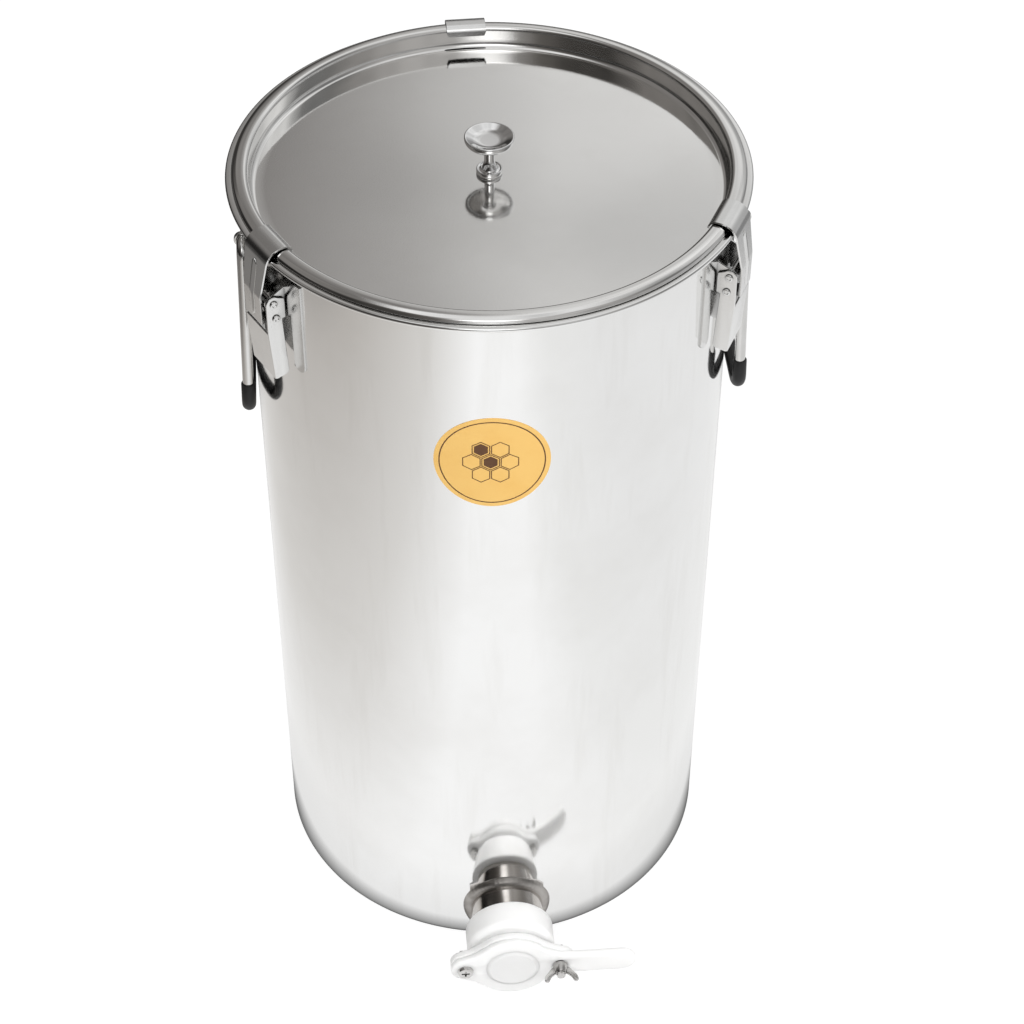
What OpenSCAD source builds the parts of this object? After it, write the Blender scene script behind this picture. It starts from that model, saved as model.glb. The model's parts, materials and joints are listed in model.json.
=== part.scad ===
// Honey settling tank: a steel drum with a clamped lid, two bail handles and a swing gate tap.
// The tank axis is Z, the floor is z = 0 and the tap points along -Y.

/* [Tank] */
// Outer diameter of the drum wall
tank_d = 315; // [290:1:360]
// Sheet thickness of the wall and the base
sheet_t = 1; // [0.8:0.1:1.4]
// Height of the top face of the rim flange
rim_z = 591; // [480:1:700]
// Reach of the rim flange beyond the wall
rim_reach = 9.8; // [9:0.1:10.2]
// Thickness of the rolled hem of the rim flange
hem_t = 3; // [2:0.1:3.4]
// Outer radius of the pressed corner of the base
base_corner_r = 4; // [3:0.5:4.5]
// Height of the turned-up edge of the base
base_edge_h = 6; // [5:0.5:6.5]

/* [Lid] */
// Clearance of the lid pan inside the wall
pan_gap = 2.9; // [1.5:0.1:3.2]
// Sheet thickness of the lid
lid_t = 1; // [0.8:0.1:1.2]
// Height of the lid crest above the rim flange
crest_h = 4.4; // [4.2:0.1:5.5]
// Depth of the edge of the pan floor below the crest
pan_depth = 14.8; // [12:0.1:20]
// Rise of the pan floor from its edge to its centre
dome_rise = 3.9; // [2:0.1:6]
// Radius of the bend between pan floor and pan wall
floor_bend_r = 4; // [3:0.5:6]
// Radius of the bend at the top of the pan wall
crest_bend_r = 3; // [2:0.1:3.2]
// Width of the flat crest
crest_w = 2.8; // [2:0.1:3]
// Width of the sloped skirt outside the crest
skirt_w = 5; // [4:0.1:5.5]
// Drop of the sloped skirt
skirt_drop = 2.9; // [2:0.1:3]
// Width of the lid seal on the rim flange
seal_w = 4.2; // [3:0.1:4.6]

/* [Knob] */
// Diameter of the knob head
knob_d = 32; // [26:0.5:40]
// Height of the knob above the pan floor
knob_h = 27.5; // [22:0.5:36]
// Thickness of the rim of the knob head
knob_edge_h = 3; // [2:0.1:4]
// Height of the tapered underside of the knob head
knob_taper_h = 5; // [3:0.1:8]
// Depth of the dish in the knob head
knob_dish = 2.4; // [1:0.1:3]
// Width of the flat lip around the dish
knob_lip_w = 1.6; // [1:0.1:3]
// Diameter of the knob neck
knob_neck_d = 8; // [7.5:0.1:10]
// Diameter of the foot ring of the knob
knob_foot_d = 17; // [14:0.5:24]
// Height of the foot ring of the knob
knob_foot_h = 2.4; // [1.5:0.1:4]
// Diameter of the knob screw
knob_screw_d = 5; // [4:0.1:5.4]
// Length of thread inside the knob
knob_screw_bite = 11; // [6:0.5:14]
// Diameter of the washer below the lid
knob_washer_d = 18; // [12:0.5:24]
// Thickness of the washer below the lid
knob_washer_t = 1.5; // [1:0.1:2]
// Diameter of the head of the knob screw
knob_screw_head_d = 9; // [8:0.1:11]
// Height of the head of the knob screw
knob_screw_head_h = 2.8; // [2:0.1:4]

/* [Latches] */
// Distance along the wall from the back of the tank to the back latch
latch_back_arc = 4.95; // [-8:0.05:12]
// Distance along the wall from the left handle to the left latch
latch_left_arc = 78.9; // [76:0.1:96]
// Distance along the wall from the right handle to the right latch
latch_right_arc = 72.6; // [71:0.1:92]
// Distance of the lever pivot from the wall
pivot_out = 9.2; // [8.8:0.1:10]
// Distance of the lever pivot below the rim
pivot_drop = 32.5; // [30:0.1:36]
// Distance of the hook pin below the lever pivot
hook_pin_drop = 11.1; // [10.5:0.1:12]
// Offset of the hook pin towards the wall
hook_pin_inset = 1; // [0.6:0.1:1.6]
// Diameter of the latch pins
latch_pin_d = 3; // [2.5:0.1:3.4]
// Diameter of the heads of the latch pins
latch_pin_head_d = 7; // [5:0.1:7.4]
// Height of the heads of the latch pins
latch_pin_head_h = 1.1; // [0.8:0.1:1.5]
// Sheet thickness of lever and hook
latch_t = 1.2; // [1:0.1:1.3]
// Outer width of the lever
lever_w = 28.6; // [27.8:0.1:30]
// Distance of the lever ear from the pivot to its edge
ear_r = 5; // [4.6:0.1:5.2]
// Distance of the top edge of the lever front below the pivot
lever_top_drop = 21.5; // [21:0.1:24]
// Distance of the lower end of the lever below the pivot
lever_end_drop = 59; // [50:0.5:66]
// Distance of the lever front from the wall at its top edge
lever_top_out = 14.3; // [13.8:0.1:14.4]
// Distance of the lever front from the wall at its lower end
lever_end_out = 11.6; // [10:0.1:13]
// Height of the lower back corner of the lever above its lower end
lever_end_rise = 2; // [1:0.1:4]
// Depth of the notch in the back edge of the lever
lever_notch = 2.6; // [1.5:0.1:3]
// Distance of the notch below the pivot
lever_notch_drop = 13; // [12.5:0.1:15]
// Width of the hook lip
hook_w = 26.6; // [24:0.1:30]
// Width of the hook between the lever ears
hook_neck_w = 20; // [18:0.1:20.4]
// Height of the hook lip above the lid crest
hook_gap = 1.2; // [1.2:0.1:2]
// Reach of the hook lip inside the tank wall
hook_lip_in = 2.4; // [1:0.1:2.6]
// Distance of the hook bend outside the tank wall
hook_bend_out = 9.4; // [9.2:0.1:10]
// Inner radius of the hook bend
hook_round_r = 10.5; // [9:0.1:11]
// Distance of the hook plate from the wall at the lever
hook_plate_out = 15; // [14.9:0.1:16]
// Width of the latch base plate
latch_base_w = 58; // [54:0.5:60]
// Height of the latch base plate
latch_base_h = 68; // [60:0.5:80]
// Distance of the top of the latch base below the rim
latch_base_drop = 15.5; // [12:0.1:20]
// Sheet thickness of the latch base
latch_base_t = 1.2; // [1:0.1:1.3]
// Width of each leg of the latch base
latch_leg_w = 10; // [8:0.5:12]

/* [Handles] */
// Diameter of the handle rod
rod_d = 7.2; // [6:0.1:7.6]
// Diameter of the handle sleeve
grip_d = 9.2; // [8.6:0.1:12]
// Distance between the handle legs
leg_span = 100; // [90:1:110]
// Distance of the handle pivot below the rim
handle_drop = 21; // [18:0.1:26]
// Length of the handle from pivot to grip
handle_l = 133; // [110:0.5:150]
// Distance that the resting handle leans out between pivot and grip
handle_lean = 4.7; // [3:0.1:5.2]
// Bend radius of the handle at the grip
grip_bend_r = 13; // [10:0.5:18]
// Bend radius of the handle at the pivot
pivot_bend_r = 7; // [5:0.5:8]
// Distance from the grip to the top of the sleeve
sleeve_h = 25; // [16:0.5:30]
// Distance between the outer faces of the handle lugs
lug_span = 82; // [80:0.5:84]
// Thickness of the handle lugs
lug_t = 3; // [2:0.1:4]
// Radius of the rounded end of the handle lugs
lug_r = 5.2; // [4.8:0.1:6.4]
// Height of the handle lugs at the wall
lug_h = 23; // [18:0.5:26]

/* [Tap] */
// Height of the tap axis
tap_z = 34; // [33:0.1:60]
// Bore of the tap
tap_bore_d = 40; // [30:0.5:42]
// Diameter of the nipple stub
stub_d = 53; // [50:0.5:54]
// Length of the nipple stub outside the wall
stub_l = 20.5; // [16:0.5:30]
// Diameter of the threaded end of the nipple
thread_d = 47.8; // [45:0.1:48.5]
// Length of the threaded end of the nipple
thread_l = 12; // [10:0.5:16]
// Length of the nipple inside the wall
stub_inner_l = 5; // [3:0.5:10]
// Diameter of the weld collar on the wall
weld_d = 64.5; // [58:0.5:65.5]
// Height of the weld collar
weld_h = 5; // [3:0.5:6]
// Thickness of the nipple gasket
gasket_t = 1.6; // [1:0.1:3]
// Diameter of the union nut
nut_d = 64; // [58:0.5:65.5]
// Radius of the rounded front edge of the union nut
nut_round_r = 3; // [2:0.5:4]
// Thickness of the front collar of the union nut
nut_collar_t = 4; // [3:0.5:6]
// Diameter of the tap disc
disc_d = 58; // [54:0.5:60]
// Thickness of the body plate of the tap
plate_t = 5.2; // [4:0.1:7]
// Thickness of the gate
gate_t = 5; // [4:0.1:7]
// Diameter of the raised circle on the gate
boss_d = 38; // [30:0.5:44]
// Height of the raised circle on the gate
boss_h = 1.2; // [0.6:0.1:2]
// Distance of the two tap bolts from the tap axis
tap_bolt_x = 34.5; // [34:0.1:38]
// Radius of the tap lugs around the bolts
tap_lug_r = 10.5; // [9.5:0.1:11]
// Distance of the end of the gate handle from the tap axis
gate_end_x = 90; // [76:0.5:110]
// Width of the gate handle
gate_handle_w = 20; // [16:0.5:24]
// Height of the middle of the gate handle above the tap axis
gate_handle_up = 0.6; // [0:0.1:4]
// Diameter of the gate screw
gate_screw_d = 5; // [4:0.1:6]
// Diameter of the head of the gate screw
gate_screw_head_d = 11.6; // [9:0.1:13]
// Height of the head of the gate screw
gate_screw_head_h = 2.6; // [2:0.1:4]
// Diameter of the clamp bolt
clamp_d = 6; // [5:0.1:6.4]
// Width across the corners of the hex nut and of the bolt head
hex_d = 11.5; // [10:0.1:13]
// Height of the hex nut and of the bolt head
hex_h = 4; // [3:0.1:5]
// Diameter of the hub of the wing nut
wing_hub_d = 11; // [10:0.1:13]
// Height of the hub of the wing nut
wing_hub_h = 7; // [5:0.1:9]
// Width over the wings
wing_span = 25; // [20:0.5:32]
// Height of the wing tips above the gate
wing_h = 14.5; // [12:0.5:18]
// Thickness of the wings
wing_t = 2.4; // [1.5:0.1:3]

/* [Label] */
// Diameter of the round label
label_d = 73; // [50:1:90]
// Distance of the middle of the label below the rim
label_drop = 113.5; // [80:0.5:300]
// Azimuth of the label
label_az = 266.4; // [250:0.1:285]
// Thickness of the label
label_t = 0.2; // [0.1:0.05:0.4]

/* [Hidden] */
$fn = 96;

// Overrun of every cut beyond the face that it opens
overrun = 2;
// Radial clearance of a pin or shaft that turns in its hole
running_gap = 0.08;
// Clearance between moving faces that lie side by side
side_gap = 0.3;
// Clearance of screws, threads and the sleeve in the pieces that they hold
fit_gap = 0.15;
// Distance of the resting handle sleeve from the wall
rest_gap = 0.4;
// Points along each rolled bend and along the domed pan floor
bend_steps = 6;
dome_steps = 10;

wall_r = tank_d / 2;
label_z = rim_z - label_drop;
wall_in_r = wall_r - sheet_t;
rim_r = wall_r + rim_reach;
hem_r = hem_t / 2;

pan_r = wall_in_r - pan_gap - lid_t;
crest_z = rim_z + crest_h;
floor_z = crest_z - pan_depth;
floor_r = pan_r - floor_bend_r;
floor_mid_z = floor_z + dome_rise;
crest_in_r = pan_r + crest_bend_r;
crest_out_r = crest_in_r + crest_w;
skirt_r = crest_out_r + skirt_w;
lid_hole_r = knob_screw_d / 2 + fit_gap;
washer_top = dome_z(knob_washer_d / 2) - lid_t - fit_gap;
washer_low = washer_top - knob_washer_t;
seal_out_r = skirt_r - lid_t;
seal_in_r = seal_out_r - seal_w;
skirt_slope = skirt_drop / skirt_w;
seal_out_h = crest_h - lid_t - skirt_slope * (seal_out_r - crest_out_r) - fit_gap;

latch_back_az = 90 + arc_angle(latch_back_arc);
latch_left_az = 180 + arc_angle(latch_left_arc);
latch_right_az = -arc_angle(latch_right_arc);
pivot_r = wall_r + pivot_out;
pivot_z = rim_z - pivot_drop;
hook_pin_r = pivot_r - hook_pin_inset;
hook_pin_z = pivot_z - hook_pin_drop;
lever_out = lever_w / 2;
lever_in = lever_out - latch_t;
base_lug_out = lever_in - side_gap;
base_lug_in = base_lug_out - latch_base_t;
lever_back_r = wall_r + latch_base_t + side_gap;
lever_top_z = pivot_z - lever_top_drop;
lever_end_z = pivot_z - lever_end_drop;
lever_notch_z = pivot_z - lever_notch_drop;
lever_top_r = wall_r + lever_top_out;
lever_end_r = wall_r + lever_end_out;
lip_z = crest_z + hook_gap;
hook_bend_r = wall_r + hook_bend_out;
hook_plate_r = wall_r + hook_plate_out;
hook_end_z = hook_pin_z - ear_r;
hook_knee_z = pivot_z + ear_r;
latch_base_z = rim_z - latch_base_drop;

rod_r = rod_d / 2;
grip_r = grip_d / 2;
handle_x = wall_r + grip_r + rest_gap - handle_lean;
handle_z = rim_z - handle_drop;
grip_z = handle_z - handle_l;
lean_angle = asin(handle_lean / handle_l);
leg_y = leg_span / 2;
lug_y = lug_span / 2;

stub_r = stub_d / 2;
bore_r = tap_bore_d / 2;
thread_r = thread_d / 2;
stub_end = wall_r + stub_l;
thread_end = stub_end + thread_l;
gasket_end = thread_end + gasket_t;
tail_t = nut_collar_t;
tail_end = gasket_end + tail_t;
nut_start = stub_end + side_gap;
nut_end = tail_end + nut_collar_t;
neck_r = thread_r - tail_t / 2;
plate_start = nut_end + hex_h + side_gap;
plate_end = plate_start + plate_t;
gate_start = plate_end + side_gap;
gate_end = gate_start + gate_t;
disc_r = disc_d / 2;
slot_r = clamp_d / 2 + tap_lug_r / 5;
handle_tip_r = gate_handle_w / 2;
clamp_end = gate_end + wing_h * 2 / 3;

// Angle of a distance along the wall
function arc_angle(length) = length / wall_r * 180 / PI;

// Points of an arc about a centre, from one angle to another
function arc(centre, r, from, to) =
    [for (i = [0:bend_steps]) let (a = from + (to - from) * i / bend_steps)
        centre + r * [cos(a), sin(a)]];

// Height of the domed pan floor at a radius
function dome_z(r) = floor_z + dome_rise * (1 - pow(r / floor_r, 2));

// Points of the pan floor from the screw hole to just before its edge, lowered by a depth
function dome(depth) =
    [for (i = [0:dome_steps - 1]) let (r = lid_hole_r + (floor_r - lid_hole_r) * i / dome_steps)
        [r, dome_z(r) - depth]];

function reversed(points) = [for (i = [len(points) - 1:-1:0]) points[i]];

// A flat outline in radius and height, spread from one side offset to another
module slab(from, to) {
    translate([0, to, 0]) rotate([90, 0, 0]) linear_extrude(to - from) children();
}

// The same on both sides of the middle plane
module slab_pair(from, to) {
    slab(from, to) children();
    slab(-to, -from) children();
}

// Children drawn along the tap axis: x to the right, y up and z outwards from the tank axis
module on_tap() {
    translate([0, 0, tap_z]) rotate([90, 0, 0]) children();
}

// A ring about Z between two heights
module ring(inner, outer, low, high) {
    difference() {
        translate([0, 0, low]) cylinder(r = outer, h = high - low);
        translate([0, 0, low - overrun]) cylinder(r = inner, h = high - low + 2 * overrun);
    }
}

module drum(r) {
    translate([0, 0, -overrun]) cylinder(r = r, h = rim_z + 2 * overrun);
}

// Tank

module tank_wall() {
    color("gainsboro") difference() {
        rotate_extrude() polygon(concat(
            [[wall_in_r, base_edge_h], [wall_in_r, rim_z]],
            arc([rim_r - hem_r, rim_z - hem_r], hem_r, 90, -90),
            [[wall_r, rim_z - hem_t], [wall_r, base_edge_h]]));
        on_tap() translate([0, 0, wall_in_r - stub_r])
            cylinder(r = stub_r + fit_gap, h = stub_r + stub_l);
    }
}

module base_pan() {
    corner = [wall_r - base_corner_r, base_corner_r];
    color("gainsboro") rotate_extrude() polygon(concat(
        [[0, 0]],
        arc(corner, base_corner_r, -90, 0),
        [[wall_r, base_edge_h], [wall_in_r, base_edge_h]],
        arc(corner, base_corner_r - sheet_t, 0, -90),
        [[0, sheet_t]]));
}

module round_label() {
    color("goldenrod") intersection() {
        ring(wall_r, wall_r + label_t, label_z - label_d, label_z + label_d);
        rotate(label_az) translate([0, 0, label_z]) rotate([0, 90, 0]) cylinder(d = label_d, h = tank_d);
    }
}

// Tap

module outlet_nipple() {
    color("silver") on_tap() difference() {
        union() {
            translate([0, 0, wall_in_r - stub_inner_l])
                cylinder(r = stub_r, h = stub_end - wall_in_r + stub_inner_l);
            translate([0, 0, stub_end - overrun]) cylinder(r = thread_r, h = thread_l + overrun);
            difference() {
                translate([0, 0, wall_r - weld_h]) cylinder(d = weld_d, h = weld_h);
                rotate([-90, 0, 0]) translate([0, 0, -tap_z]) drum(wall_r);
            }
            translate([0, 0, wall_r]) cylinder(d1 = weld_d, r2 = stub_r, h = weld_h);
        }
        translate([0, 0, wall_in_r - stub_inner_l - overrun])
            cylinder(r = bore_r, h = thread_end - wall_in_r + stub_inner_l + 2 * overrun);
    }
}

module nipple_gasket() {
    color("dimgray") on_tap() ring(bore_r, thread_r, thread_end, gasket_end);
}

module union_nut() {
    front = nut_end - nut_round_r;
    color("white") on_tap() difference() {
        rotate_extrude() polygon(concat(
            [[0, nut_start], [nut_d / 2, nut_start]],
            arc([nut_d / 2 - nut_round_r, front], nut_round_r, 0, 90),
            [[0, nut_end]]));
        translate([0, 0, nut_start - overrun])
            cylinder(r = thread_r + fit_gap, h = tail_end - nut_start + overrun);
        translate([0, 0, nut_start]) cylinder(r = neck_r + fit_gap, h = nut_end - nut_start + overrun);
    }
}

// Outline of the tap plate: a disc with a lug on each side
module tap_outline(lug_sides) {
    shoulder = tap_lug_r + tap_lug_r / 2;
    circle(r = disc_r);
    for (side = lug_sides) {
        translate([side * tap_bolt_x, 0]) circle(r = tap_lug_r);
        polygon([[side * tap_bolt_x, tap_lug_r], [side * tap_bolt_x, -tap_lug_r],
            [side * disc_r / 2, -shoulder], [side * disc_r / 2, shoulder]]);
    }
}

module valve_body() {
    color("white") on_tap() difference() {
        union() {
            translate([0, 0, gasket_end]) cylinder(r = thread_r, h = tail_t);
            translate([0, 0, gasket_end]) cylinder(r = neck_r, h = plate_end - gasket_end);
            translate([0, 0, plate_start]) linear_extrude(plate_t) tap_outline([-1, 1]);
        }
        translate([0, 0, gasket_end - overrun])
            cylinder(r = bore_r, h = plate_end - gasket_end + 2 * overrun);
        translate([-tap_bolt_x, 0, plate_start - overrun])
            cylinder(d = gate_screw_d + 2 * fit_gap, h = plate_t + 2 * overrun);
        translate([tap_bolt_x, 0, plate_start - overrun])
            cylinder(d = clamp_d + 2 * fit_gap, h = plate_t + 2 * overrun);
    }
}

// Outline of the gate: a disc, a pivot lug and a handle with a round end
module gate_outline() {
    reach = gate_end_x - handle_tip_r;
    tap_outline([-1]);
    translate([0, gate_handle_up - handle_tip_r]) square([reach, gate_handle_w]);
    translate([reach, gate_handle_up]) circle(r = handle_tip_r);
}

module valve_gate() {
    color("white") on_tap() difference() {
        union() {
            translate([0, 0, gate_start]) linear_extrude(gate_t) gate_outline();
            translate([0, 0, gate_end]) cylinder(d1 = boss_d, d2 = boss_d - 4 * boss_h, h = boss_h);
        }
        translate([-tap_bolt_x, 0, gate_start - overrun])
            cylinder(d = gate_screw_d + 2 * running_gap, h = gate_t + 2 * overrun);
        translate([tap_bolt_x, 0, gate_start - overrun])
            cylinder(r = slot_r, h = gate_t + 2 * overrun);
        translate([tap_bolt_x - slot_r, -disc_r, gate_start - overrun])
            cube([2 * slot_r, disc_r, gate_t + 2 * overrun]);
    }
}

module gate_screw() {
    slot_w = gate_screw_head_d / 8;
    slot_l = gate_screw_head_d / 2;
    slot_depth = gate_screw_head_h / 2;
    head = gate_end + side_gap;
    color("silver") on_tap() translate([-tap_bolt_x, 0, 0]) difference() {
        union() {
            translate([0, 0, plate_start - hex_h])
                cylinder(d = gate_screw_d, h = head - plate_start + hex_h);
            translate([0, 0, head])
                cylinder(d1 = gate_screw_head_d, d2 = gate_screw_head_d - gate_screw_head_h / 2,
                    h = gate_screw_head_h);
        }
        for (turn = [0, 90]) rotate(turn)
            translate([-slot_l / 2, -slot_w / 2, head + gate_screw_head_h - slot_depth])
                cube([slot_l, slot_w, slot_depth + overrun]);
    }
}

// A hex prism with a round hole, behind the body plate
module hex(bore_d) {
    translate([0, 0, plate_start - hex_h]) difference() {
        cylinder(d = hex_d, h = hex_h, $fn = 6);
        translate([0, 0, -overrun]) cylinder(d = bore_d, h = hex_h + 2 * overrun);
    }
}

module gate_screw_nut() {
    color("silver") on_tap() translate([-tap_bolt_x, 0, 0]) hex(gate_screw_d + 2 * fit_gap);
}

module clamp_bolt() {
    color("silver") on_tap() translate([tap_bolt_x, 0, plate_start - hex_h]) {
        cylinder(d = hex_d, h = hex_h, $fn = 6);
        cylinder(d = clamp_d, h = clamp_end - plate_start + hex_h);
    }
}

module wing_nut() {
    hub_r = wing_hub_d / 2;
    foot = gate_end + side_gap;
    tip = foot + wing_h;
    tip_w = wing_t * 3 / 2;
    color("silver") on_tap() translate([tap_bolt_x, 0, 0]) difference() {
        union() {
            translate([0, 0, foot]) cylinder(d1 = wing_hub_d, d2 = wing_hub_d - wing_t, h = wing_hub_h);
            for (side = [0, 1]) mirror([side, 0, 0]) slab(-wing_t / 2, wing_t / 2)
                polygon([[clamp_d / 2 + wing_t / 2, foot + wing_t], [hub_r, foot + wing_t],
                    [wing_span / 2, tip - wing_t], [wing_span / 2 - wing_t / 2, tip],
                    [wing_span / 2 - tip_w, tip], [clamp_d / 2 + wing_t / 2, foot + wing_hub_h]]);
        }
        translate([0, 0, foot - overrun])
            cylinder(d = clamp_d + 2 * running_gap, h = wing_h + 2 * overrun);
    }
}

// Lid

module lid_pan() {
    floor_bend = [floor_r, floor_z + floor_bend_r];
    crest_bend = [crest_in_r, crest_z - crest_bend_r];
    color("darkgray") rotate_extrude() polygon(concat(
        dome(0),
        arc(floor_bend, floor_bend_r, -90, 0),
        arc(crest_bend, crest_bend_r, 180, 90),
        [[crest_out_r, crest_z], [skirt_r, crest_z - skirt_drop],
            [skirt_r, crest_z - skirt_drop - lid_t], [crest_out_r, crest_z - lid_t]],
        arc(crest_bend, crest_bend_r - lid_t, 90, 180),
        arc(floor_bend, floor_bend_r + lid_t, 0, -90),
        reversed(dome(lid_t))));
}

module lid_seal() {
    color("dimgray") rotate_extrude() polygon([
        [seal_in_r, rim_z], [seal_out_r, rim_z], [seal_out_r, rim_z + seal_out_h],
        [crest_out_r, crest_z - lid_t - fit_gap], [crest_out_r - lid_t, crest_z - lid_t],
        [seal_in_r, crest_z - lid_t]]);
}

module lid_knob() {
    head_r = knob_d / 2;
    neck_r = knob_neck_d / 2;
    under = knob_h - knob_edge_h - knob_taper_h;
    color("silver") translate([0, 0, floor_mid_z]) rotate_extrude() polygon([
        [knob_screw_d / 2, 0], [knob_foot_d / 2, 0], [knob_foot_d / 2, knob_foot_h],
        [neck_r, knob_foot_h * 2], [neck_r, under], [head_r, knob_h - knob_edge_h],
        [head_r, knob_h], [head_r - knob_lip_w, knob_h], [neck_r, knob_h - knob_dish],
        [0, knob_h - knob_dish], [0, knob_screw_bite], [knob_screw_d / 2, knob_screw_bite]]);
}

module knob_washer() {
    color("dimgray") ring(lid_hole_r, knob_washer_d / 2, washer_low, washer_top);
}

module knob_screw() {
    head_low = washer_low - knob_screw_head_h;
    screw_top = floor_mid_z + knob_screw_bite - fit_gap;
    color("silver") translate([0, 0, head_low]) {
        cylinder(d1 = knob_screw_head_d - knob_screw_head_h, d2 = knob_screw_head_d, h = knob_screw_head_h);
        cylinder(d = knob_screw_d - 2 * fit_gap, h = screw_top - head_low);
    }
}

// Latches, drawn at azimuth zero: x is the radius and y the side offset

// A pin through the lever with a head on each side
module latch_pin(r, z) {
    reach = lever_out + side_gap;
    translate([r, 0, z]) rotate([90, 0, 0]) {
        translate([0, 0, -reach - latch_pin_head_h])
            cylinder(d = latch_pin_d, h = 2 * (reach + latch_pin_head_h));
        for (side = [0, 1]) mirror([0, 0, side]) translate([0, 0, reach])
            cylinder(d1 = latch_pin_head_d, d2 = latch_pin_head_d - 2 * latch_pin_head_h, h = latch_pin_head_h);
    }
}

// The hole for a pin that turns in it
module pin_hole(r, z) {
    translate([r, lever_out + overrun, z]) rotate([90, 0, 0])
        cylinder(d = latch_pin_d + 2 * running_gap, h = 2 * (lever_out + overrun));
}

// A round ear about a point, in radius and height
module ear(r, z) {
    translate([r, z]) circle(r = ear_r);
}

module latch_base(az) {
    half_w = latch_base_w / 2;
    corner = latch_leg_w / 2;
    leg_y = half_w - corner;
    foot_z = latch_base_z - latch_base_h;
    bridge_h = latch_base_h / 2;
    color("gainsboro") rotate(az) difference() {
        union() {
            intersection() {
                ring(wall_r, wall_r + latch_base_t, foot_z - overrun, latch_base_z + overrun);
                union() {
                    translate([0, -half_w, latch_base_z - bridge_h]) cube([tank_d, latch_base_w, bridge_h]);
                    for (side = [-1, 1]) {
                        translate([0, side * leg_y - corner, foot_z + corner])
                            cube([tank_d, latch_leg_w, latch_base_h - corner]);
                        translate([0, side * leg_y, foot_z + corner]) rotate([0, 90, 0])
                            cylinder(r = corner, h = tank_d);
                    }
                }
            }
            difference() {
                slab_pair(base_lug_in, base_lug_out) {
                    ear(pivot_r, pivot_z);
                    polygon([[wall_in_r, pivot_z - 2 * ear_r], [wall_in_r, pivot_z + 2 * ear_r],
                        [pivot_r, pivot_z + ear_r], [pivot_r, pivot_z - ear_r]]);
                }
                drum(wall_r);
            }
        }
        pin_hole(pivot_r, pivot_z);
    }
}

module latch_lever(az) {
    color("gainsboro") rotate(az) difference() {
        union() {
            slab_pair(lever_in, lever_out) {
                ear(pivot_r, pivot_z);
                polygon([[lever_back_r, lever_notch_z], [lever_back_r, pivot_z], [pivot_r, pivot_z + ear_r],
                    [pivot_r + ear_r, pivot_z], [lever_top_r, lever_top_z], [lever_end_r, lever_end_z],
                    [lever_back_r, lever_end_z + lever_end_rise],
                    [lever_back_r + lever_notch, lever_notch_z]]);
            }
            slab(-lever_out, lever_out)
                polygon([[lever_top_r, lever_top_z], [lever_end_r, lever_end_z],
                    [lever_end_r - latch_t, lever_end_z], [lever_top_r - latch_t, lever_top_z]]);
        }
        pin_hole(pivot_r, pivot_z);
        pin_hole(hook_pin_r, hook_pin_z);
    }
}

module latch_hook(az) {
    half_w = hook_w / 2;
    neck = hook_neck_w / 2;
    lip_top = lip_z + latch_t;
    plate_lean = atan2(hook_plate_r - hook_bend_r, lip_z - hook_knee_z);
    bend_run = hook_round_r / tan(45 + plate_lean / 2);
    bend = [hook_bend_r - bend_run, lip_z - hook_round_r];
    rib_w = hook_w / 5;
    rib_top = lip_z - (lip_z - hook_knee_z) / 4;
    rib_slope = (hook_plate_r - hook_bend_r) / (lip_z - hook_knee_z);
    rib_top_r = hook_bend_r + rib_slope * (lip_z - rib_top) + latch_t;
    rib_low_r = hook_plate_r + latch_t;
    color("silver") rotate(az) difference() {
        union() {
            intersection() {
                slab(-half_w, half_w) polygon(concat(
                    [[wall_r - hook_lip_in, lip_z]],
                    arc(bend, hook_round_r, 90, plate_lean),
                    [[hook_plate_r, hook_knee_z], [hook_plate_r, hook_end_z],
                        [hook_plate_r + latch_t, hook_end_z], [hook_plate_r + latch_t, hook_knee_z]],
                    arc(bend, hook_round_r + latch_t, plate_lean, 90),
                    [[wall_r - hook_lip_in, lip_top]]));
                rotate([90, 0, 90]) linear_extrude(tank_d) polygon([
                    [half_w, lip_top], [half_w, lip_z - ear_r], [neck, hook_knee_z], [neck, hook_end_z],
                    [-neck, hook_end_z], [-neck, hook_knee_z], [-half_w, lip_z - ear_r], [-half_w, lip_top]]);
            }
            slab(-rib_w / 2, rib_w / 2) polygon([
                [rib_top_r - latch_t / 2, rib_top], [rib_top_r + latch_t / 2, rib_top - latch_t],
                [rib_low_r + latch_t / 2, hook_knee_z + latch_t], [rib_low_r - latch_t / 2, hook_knee_z]]);
            slab_pair(neck - latch_t, neck) {
                translate([hook_pin_r, hook_pin_z]) circle(r = ear_r - latch_t);
                polygon([[hook_pin_r, hook_pin_z + ear_r - latch_t], [hook_plate_r + latch_t / 2, hook_pin_z + ear_r],
                    [hook_plate_r + latch_t / 2, hook_end_z], [hook_pin_r, hook_pin_z - ear_r + latch_t]]);
            }
        }
        pin_hole(hook_pin_r, hook_pin_z);
    }
}

module pivot_pin(az) {
    color("silver") rotate(az) latch_pin(pivot_r, pivot_z);
}

module hook_pin(az) {
    color("silver") rotate(az) latch_pin(hook_pin_r, hook_pin_z);
}

// Handles, drawn at azimuth zero: a round section carried along a bent rod

// The plane of the resting handle: x along the pivot and y up
module handle_plane() {
    translate([handle_x, 0, handle_z]) rotate([0, -lean_angle, 0]) translate([0, 0, -handle_z])
        rotate([90, 0, 90]) children();
}

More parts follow.
